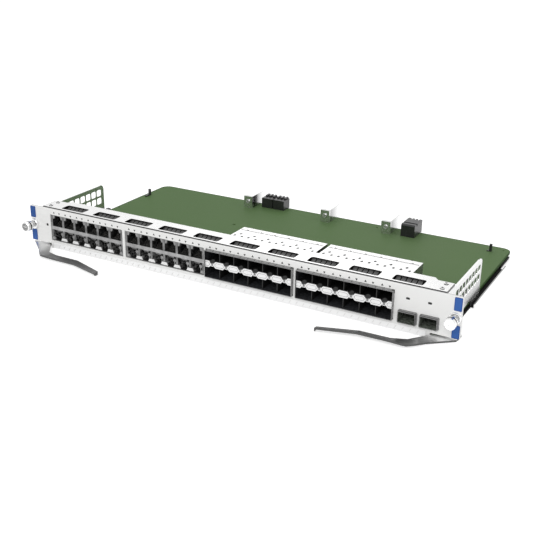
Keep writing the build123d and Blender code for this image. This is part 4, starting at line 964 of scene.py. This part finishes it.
# curved spring tray with a ring on a stem at its end, in the mouth of every lower jack
def springTrays():
    look = {"wide": 6.6, "thick": 0.35, "tall": 0.3, "startY": 1.0, "fromBar": 2.4, "shift": -1.0,
            "steps": [(0.5, -1.4), (0.9, -1.3), (1.3, -0.9), (1.8, -0.4)], "taper": 0.92, "round": 0.08,
            "ringRadius": 1.5, "ringHole": 0.7, "ringThick": 0.5, "ringDish": 0.35, "ringX": 2.6,
            "ringY": 1.4, "ringZ": -6.6, "stem": (0.7, 0.4, 3.6), "stemDrop": 1.6, "stemFoot": 2.0}
    tray = startBox("tray", (look["wide"], look["thick"], look["tall"]),
                    (look["shift"], look["startY"], -look["fromBar"]))
    pickFaces(tray, "Z", -1)
    for back, up in look["steps"]:
        push(0, back, up)
        resizePicked(look["taper"], 1, 1)
    leaveEdit()
    softenAll(tray, look["round"], 1)
    ring = startRound("ring", look["ringRadius"], look["ringThick"],
                      (look["ringX"], look["ringY"], look["ringZ"]), "Y", 16)
    for way in (-1, 1):
        pickFaces(ring, "Y", way)
        inset(look["ringHole"])
        push(0, -way * look["ringThick"] * look["ringDish"], 0)
        leaveEdit()
    stem = startBox("stem", look["stem"],
                    (look["ringX"], look["ringY"], look["ringZ"] - look["ringRadius"] - look["stemDrop"]))
    pickFaces(stem, "Z", -1)
    resizePicked(look["stemFoot"], 1, 1)
    leaveEdit()
    softenAll(stem, look["round"], 1)
    whole = joined("wholeTray", [tray, ring, stem])
    gathered = [twin(whole, x, 0, jackMidZ)
                for middle in jackMiddles for x in inRow(columns, jackPitch, middle)]
    discard(whole)
    handOver(joined("jack_spring_trays", gathered), plain["trayMetal"])


# eight bent contact wires in every jack, the lower row mirrored
def contactWires(side, middle):
    look = {"radius": 0.2, "pitch": 1.02, "count": 8, "start": 1.2, "startLong": 0.1, "fromBar": 2.3,
            "steps": [(0.9, 0.15), (1.6, 0.8), (2.2, 1.4), (2.0, 0.9), (2.4, 0.3)]}
    single = startRound("contact", look["radius"], look["startLong"], (0, look["start"], look["fromBar"]),
                        "Y", 5)
    pickFaces(single, "Y", 1)
    for back, up in look["steps"]:
        push(0, back, up)
    leaveEdit()
    comb = joined("comb", [twin(single, x) for x in inRow(look["count"], look["pitch"])])
    under = mirrored(comb, "Z")
    gathered = []
    for x in inRow(columns, jackPitch, middle):
        gathered += [twin(comb, x, 0, jackMidZ), twin(under, x, 0, jackMidZ)]
    discard(single, comb, under)
    handOver(joined(side + "_contact_wires", gathered), plain["shadedContactWire"],
             instead=(side + "_jack_contacts",))


# screws with a cross recess, modelled once for each size and copied to its places
def crossScrews(name, node, radius, height, places, axis, finish):
    look = {"cross": 1.45, "bar": 0.5, "deep": 0.5, "round": 0.2, "shank": 0.55, "shankLong": 2.0}
    head = startRound("head", radius, height, (0, 0, height / 2))
    softenAll(head, look["round"], 3)
    arm, bar = look["cross"] * radius, look["bar"] * radius
    for wide, tall in ((arm, bar), (bar, arm)):
        carve(head, startBox("cutter", (wide, tall, look["deep"] * 2), (0, 0, height)))
    shank = startRound("shank", radius * look["shank"], look["shankLong"], (0, 0, -look["shankLong"] / 2),
                       "Z", 16)
    whole = joined("whole", [head, shank])
    if axis == "Y":
        whole.data.transform(Matrix.Rotation(math.pi / 2, 4, "X"))
    gathered = [twin(whole, *place) for place in places]
    discard(whole)
    handOver(joined(name, gathered), finish, instead=(node,))


# sizes and places of the plate's, the brackets' and the guides' screws
def allCrossScrews():
    look = {"plateRadius": 1.9, "plateHeight": 0.7, "plateFromEnd": 5.8, "plateY": (6.0, 16.0),
            "footRadius": 2.8, "footHeight": 1.6, "footFromEdge": 5.4, "footY": (75.0, 88.0),
            "footLift": 1.0, "guideRadius": 2.3, "guideHeight": 1.2, "guideX": (-81.4, 11.1, 79.1),
            "guideZ": -8.7}
    plateX = plateHigh[0] - look["plateFromEnd"]
    footX = spanOf("right_side_bracket")[1][0] - look["footFromEdge"]
    guideY = spanOf("rear_guides")[0][1]
    platePlaces = [(way * plateX, y, plateHigh[2]) for way in (-1, 1) for y in look["plateY"]]
    footPlaces = [(way * footX, y, boardHigh[2] + look["footLift"]) for way in (-1, 1) for y in look["footY"]]
    guidePlaces = [(x, guideY, look["guideZ"]) for x in look["guideX"]]
    crossScrews("plate_cross_screws", "top_plate_screws", look["plateRadius"], look["plateHeight"],
                platePlaces, "Z", recessedSteel())
    crossScrews("board_cross_screws", "board_screws", look["footRadius"], look["footHeight"],
                footPlaces, "Z", plain["screwSteel"])
    crossScrews("guide_cross_screws", "guide_screws", look["guideRadius"], look["guideHeight"],
                guidePlaces, "Y", plain["screwSteel"])


# coil spring round each captive screw
def screwSprings(side):
    look = {"turns": 4, "wire": 0.24, "sides": 8, "steps": 24, "travel": 3.5}
    low, high = spanOf(side + "_screw_spring")
    radius = (high[0] - low[0]) / 2 - look["wire"]
    length = high[1] - low[1] - 2 * look["wire"]
    clearSelection()
    bpy.ops.mesh.primitive_circle_add(vertices=look["sides"], radius=look["wire"] * mm,
                                      location=(radius * mm, (low[1] + look["wire"]) * mm, 0))
    piece = settle(side + "_spring_coil")
    coil = piece.modifiers.new("coil", "SCREW")
    coil.axis = "Y"
    coil.screw_offset = length / look["turns"] * mm
    coil.iterations = look["turns"]
    coil.steps = coil.render_steps = look["steps"]
    bpy.ops.object.modifier_apply(modifier="coil")
    editAll(piece)
    bpy.ops.mesh.fill_holes(sides=look["sides"])
    leaveEdit()
    moved(piece, (low[0] + high[0]) / 2)
    handOver(piece, plain["polishedNickel"], instead=(side + "_screw_spring",), smooth=60)
    side + "_screw_press"
    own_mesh(piece)


# screw thread on the stud of each captive screw
def studThread(side):
    look = {"pitch": 0.7, "turns": 4, "radius": 1.72, "tooth": 0.2, "start": 0.25, "steps": 20}
    clearSelection()
    bpy.ops.mesh.primitive_circle_add(vertices=3, radius=look["tooth"] * mm, fill_type="NGON",
                                      location=(look["radius"] * mm, look["start"] * mm, 0))
    piece = settle(side + "_stud_thread")
    thread = piece.modifiers.new("thread", "SCREW")
    thread.axis = "Y"
    thread.screw_offset = look["pitch"] * mm
    thread.iterations = look["turns"]
    thread.steps = thread.render_steps = look["steps"]
    bpy.ops.object.modifier_apply(modifier="thread")
    editAll(piece)
    bpy.ops.mesh.fill_holes(sides=3)
    leaveEdit()
    moved(piece, middleOf(side + "_captive_screw", 0))
    handOver(piece, plain["polishedNickel"], body=side + "_screw")


windowMilk = windowMoulding()
for side, middle in zip(sides, cageMiddles):
    cageWindows(side, middle)
    mouthFingers(side, middle)
    latchTongues(side, middle)
    cageLips(side, middle)
print("cage windows, mouth fingers, latches and lips modelled")
jackLights()
springTrays()
for side, middle in zip(sides, jackMiddles):
    contactWires(side, middle)
print("jack lights, spring trays and contacts modelled")
allCrossScrews()
for side, way in zip(sides, (-1, 1)):
    screwSprings(side)
    studThread(side)
    leverTips(side, way)
print("screws, springs, threads and lever tips modelled")
slotSprings()
edgeShadeBlock()
viewPlug()
print("slot springs, buffer and plug modelled")


def cameraAndLight():
    look = {"place": (0.378032, -0.608791, 0.290593), "turn": (67.7657, -0.7406, 28.9575), "lens": 59.7186,
            "sensor": 36.0, "aim": (0, 0.05, 0),
            "lamps": [("keyLamp", (0.3, -1.3, 0.9), 1.1, 11.0), ("sideLamp", (1.3, 0.3, 0.7), 0.9, 2.0),
                      ("backLamp", (-0.6, 1.2, 1.1), 1.0, 3.5)]}
    cameraData = bpy.data.cameras.new("photoCamera")
    cameraData.lens = look["lens"]
    cameraData.sensor_width = look["sensor"]
    camera = bpy.data.objects.new("photoCamera", cameraData)
    camera.location = look["place"]
    camera.rotation_euler = [math.radians(a) for a in look["turn"]]
    bpy.context.scene.collection.objects.link(camera)
    bpy.context.scene.camera = camera
    for name, place, size, power in look["lamps"]:
        lampData = bpy.data.lights.new(name, "AREA")
        lampData.shape = "DISK"
        lampData.size = size
        lampData.energy = power
        lamp = bpy.data.objects.new(name, lampData)
        lamp.location = place
        lamp.rotation_euler = (Vector(look["aim"]) - Vector(place)).to_track_quat("-Z", "Y").to_euler()
        bpy.context.scene.collection.objects.link(lamp)


# pale room and floor: both look brighter to the camera and in gloss than the light they give
def surroundings():
    look = {"roomLight": 0.64, "roomSeen": 1.0, "floorSize": 8.0, "floorZ": -0.0221, "floorGlow": 0.52,
            "floorColour": 0.80}
    room = Finish("paleRoom", bpy.data.worlds)
    bpy.context.scene.world = room.material
    strength = room.spread(room.watched(), look["roomLight"], look["roomSeen"])
    air = room.node("ShaderNodeBackground", {}, {"Color": grey(1.0), "Strength": strength})
    room.node("ShaderNodeOutputWorld", {}, {"Surface": air})
    clearSelection()
    bpy.ops.mesh.primitive_plane_add(size=look["floorSize"], location=(0, 0, look["floorZ"]))
    floor = bpy.context.object
    floor.name = "floor"
    f = Finish("paleFloor")
    diffuse = f.node("ShaderNodeBsdfDiffuse", {}, {"Color": grey(look["floorColour"])})
    glow = f.watched() * look["floorGlow"]
    shine = f.node("ShaderNodeEmission", {}, {"Color": grey(1.0), "Strength": glow})
    both = f.node("ShaderNodeAddShader", {}, {0: diffuse, 1: shine})
    f.node("ShaderNodeOutputMaterial", {}, {"Surface": both})
    floor.data.materials.append(f.material)


cameraAndLight()
surroundings()
bpy.context.scene.view_settings.view_transform = "Standard"
print("camera, lamps and floor ready")
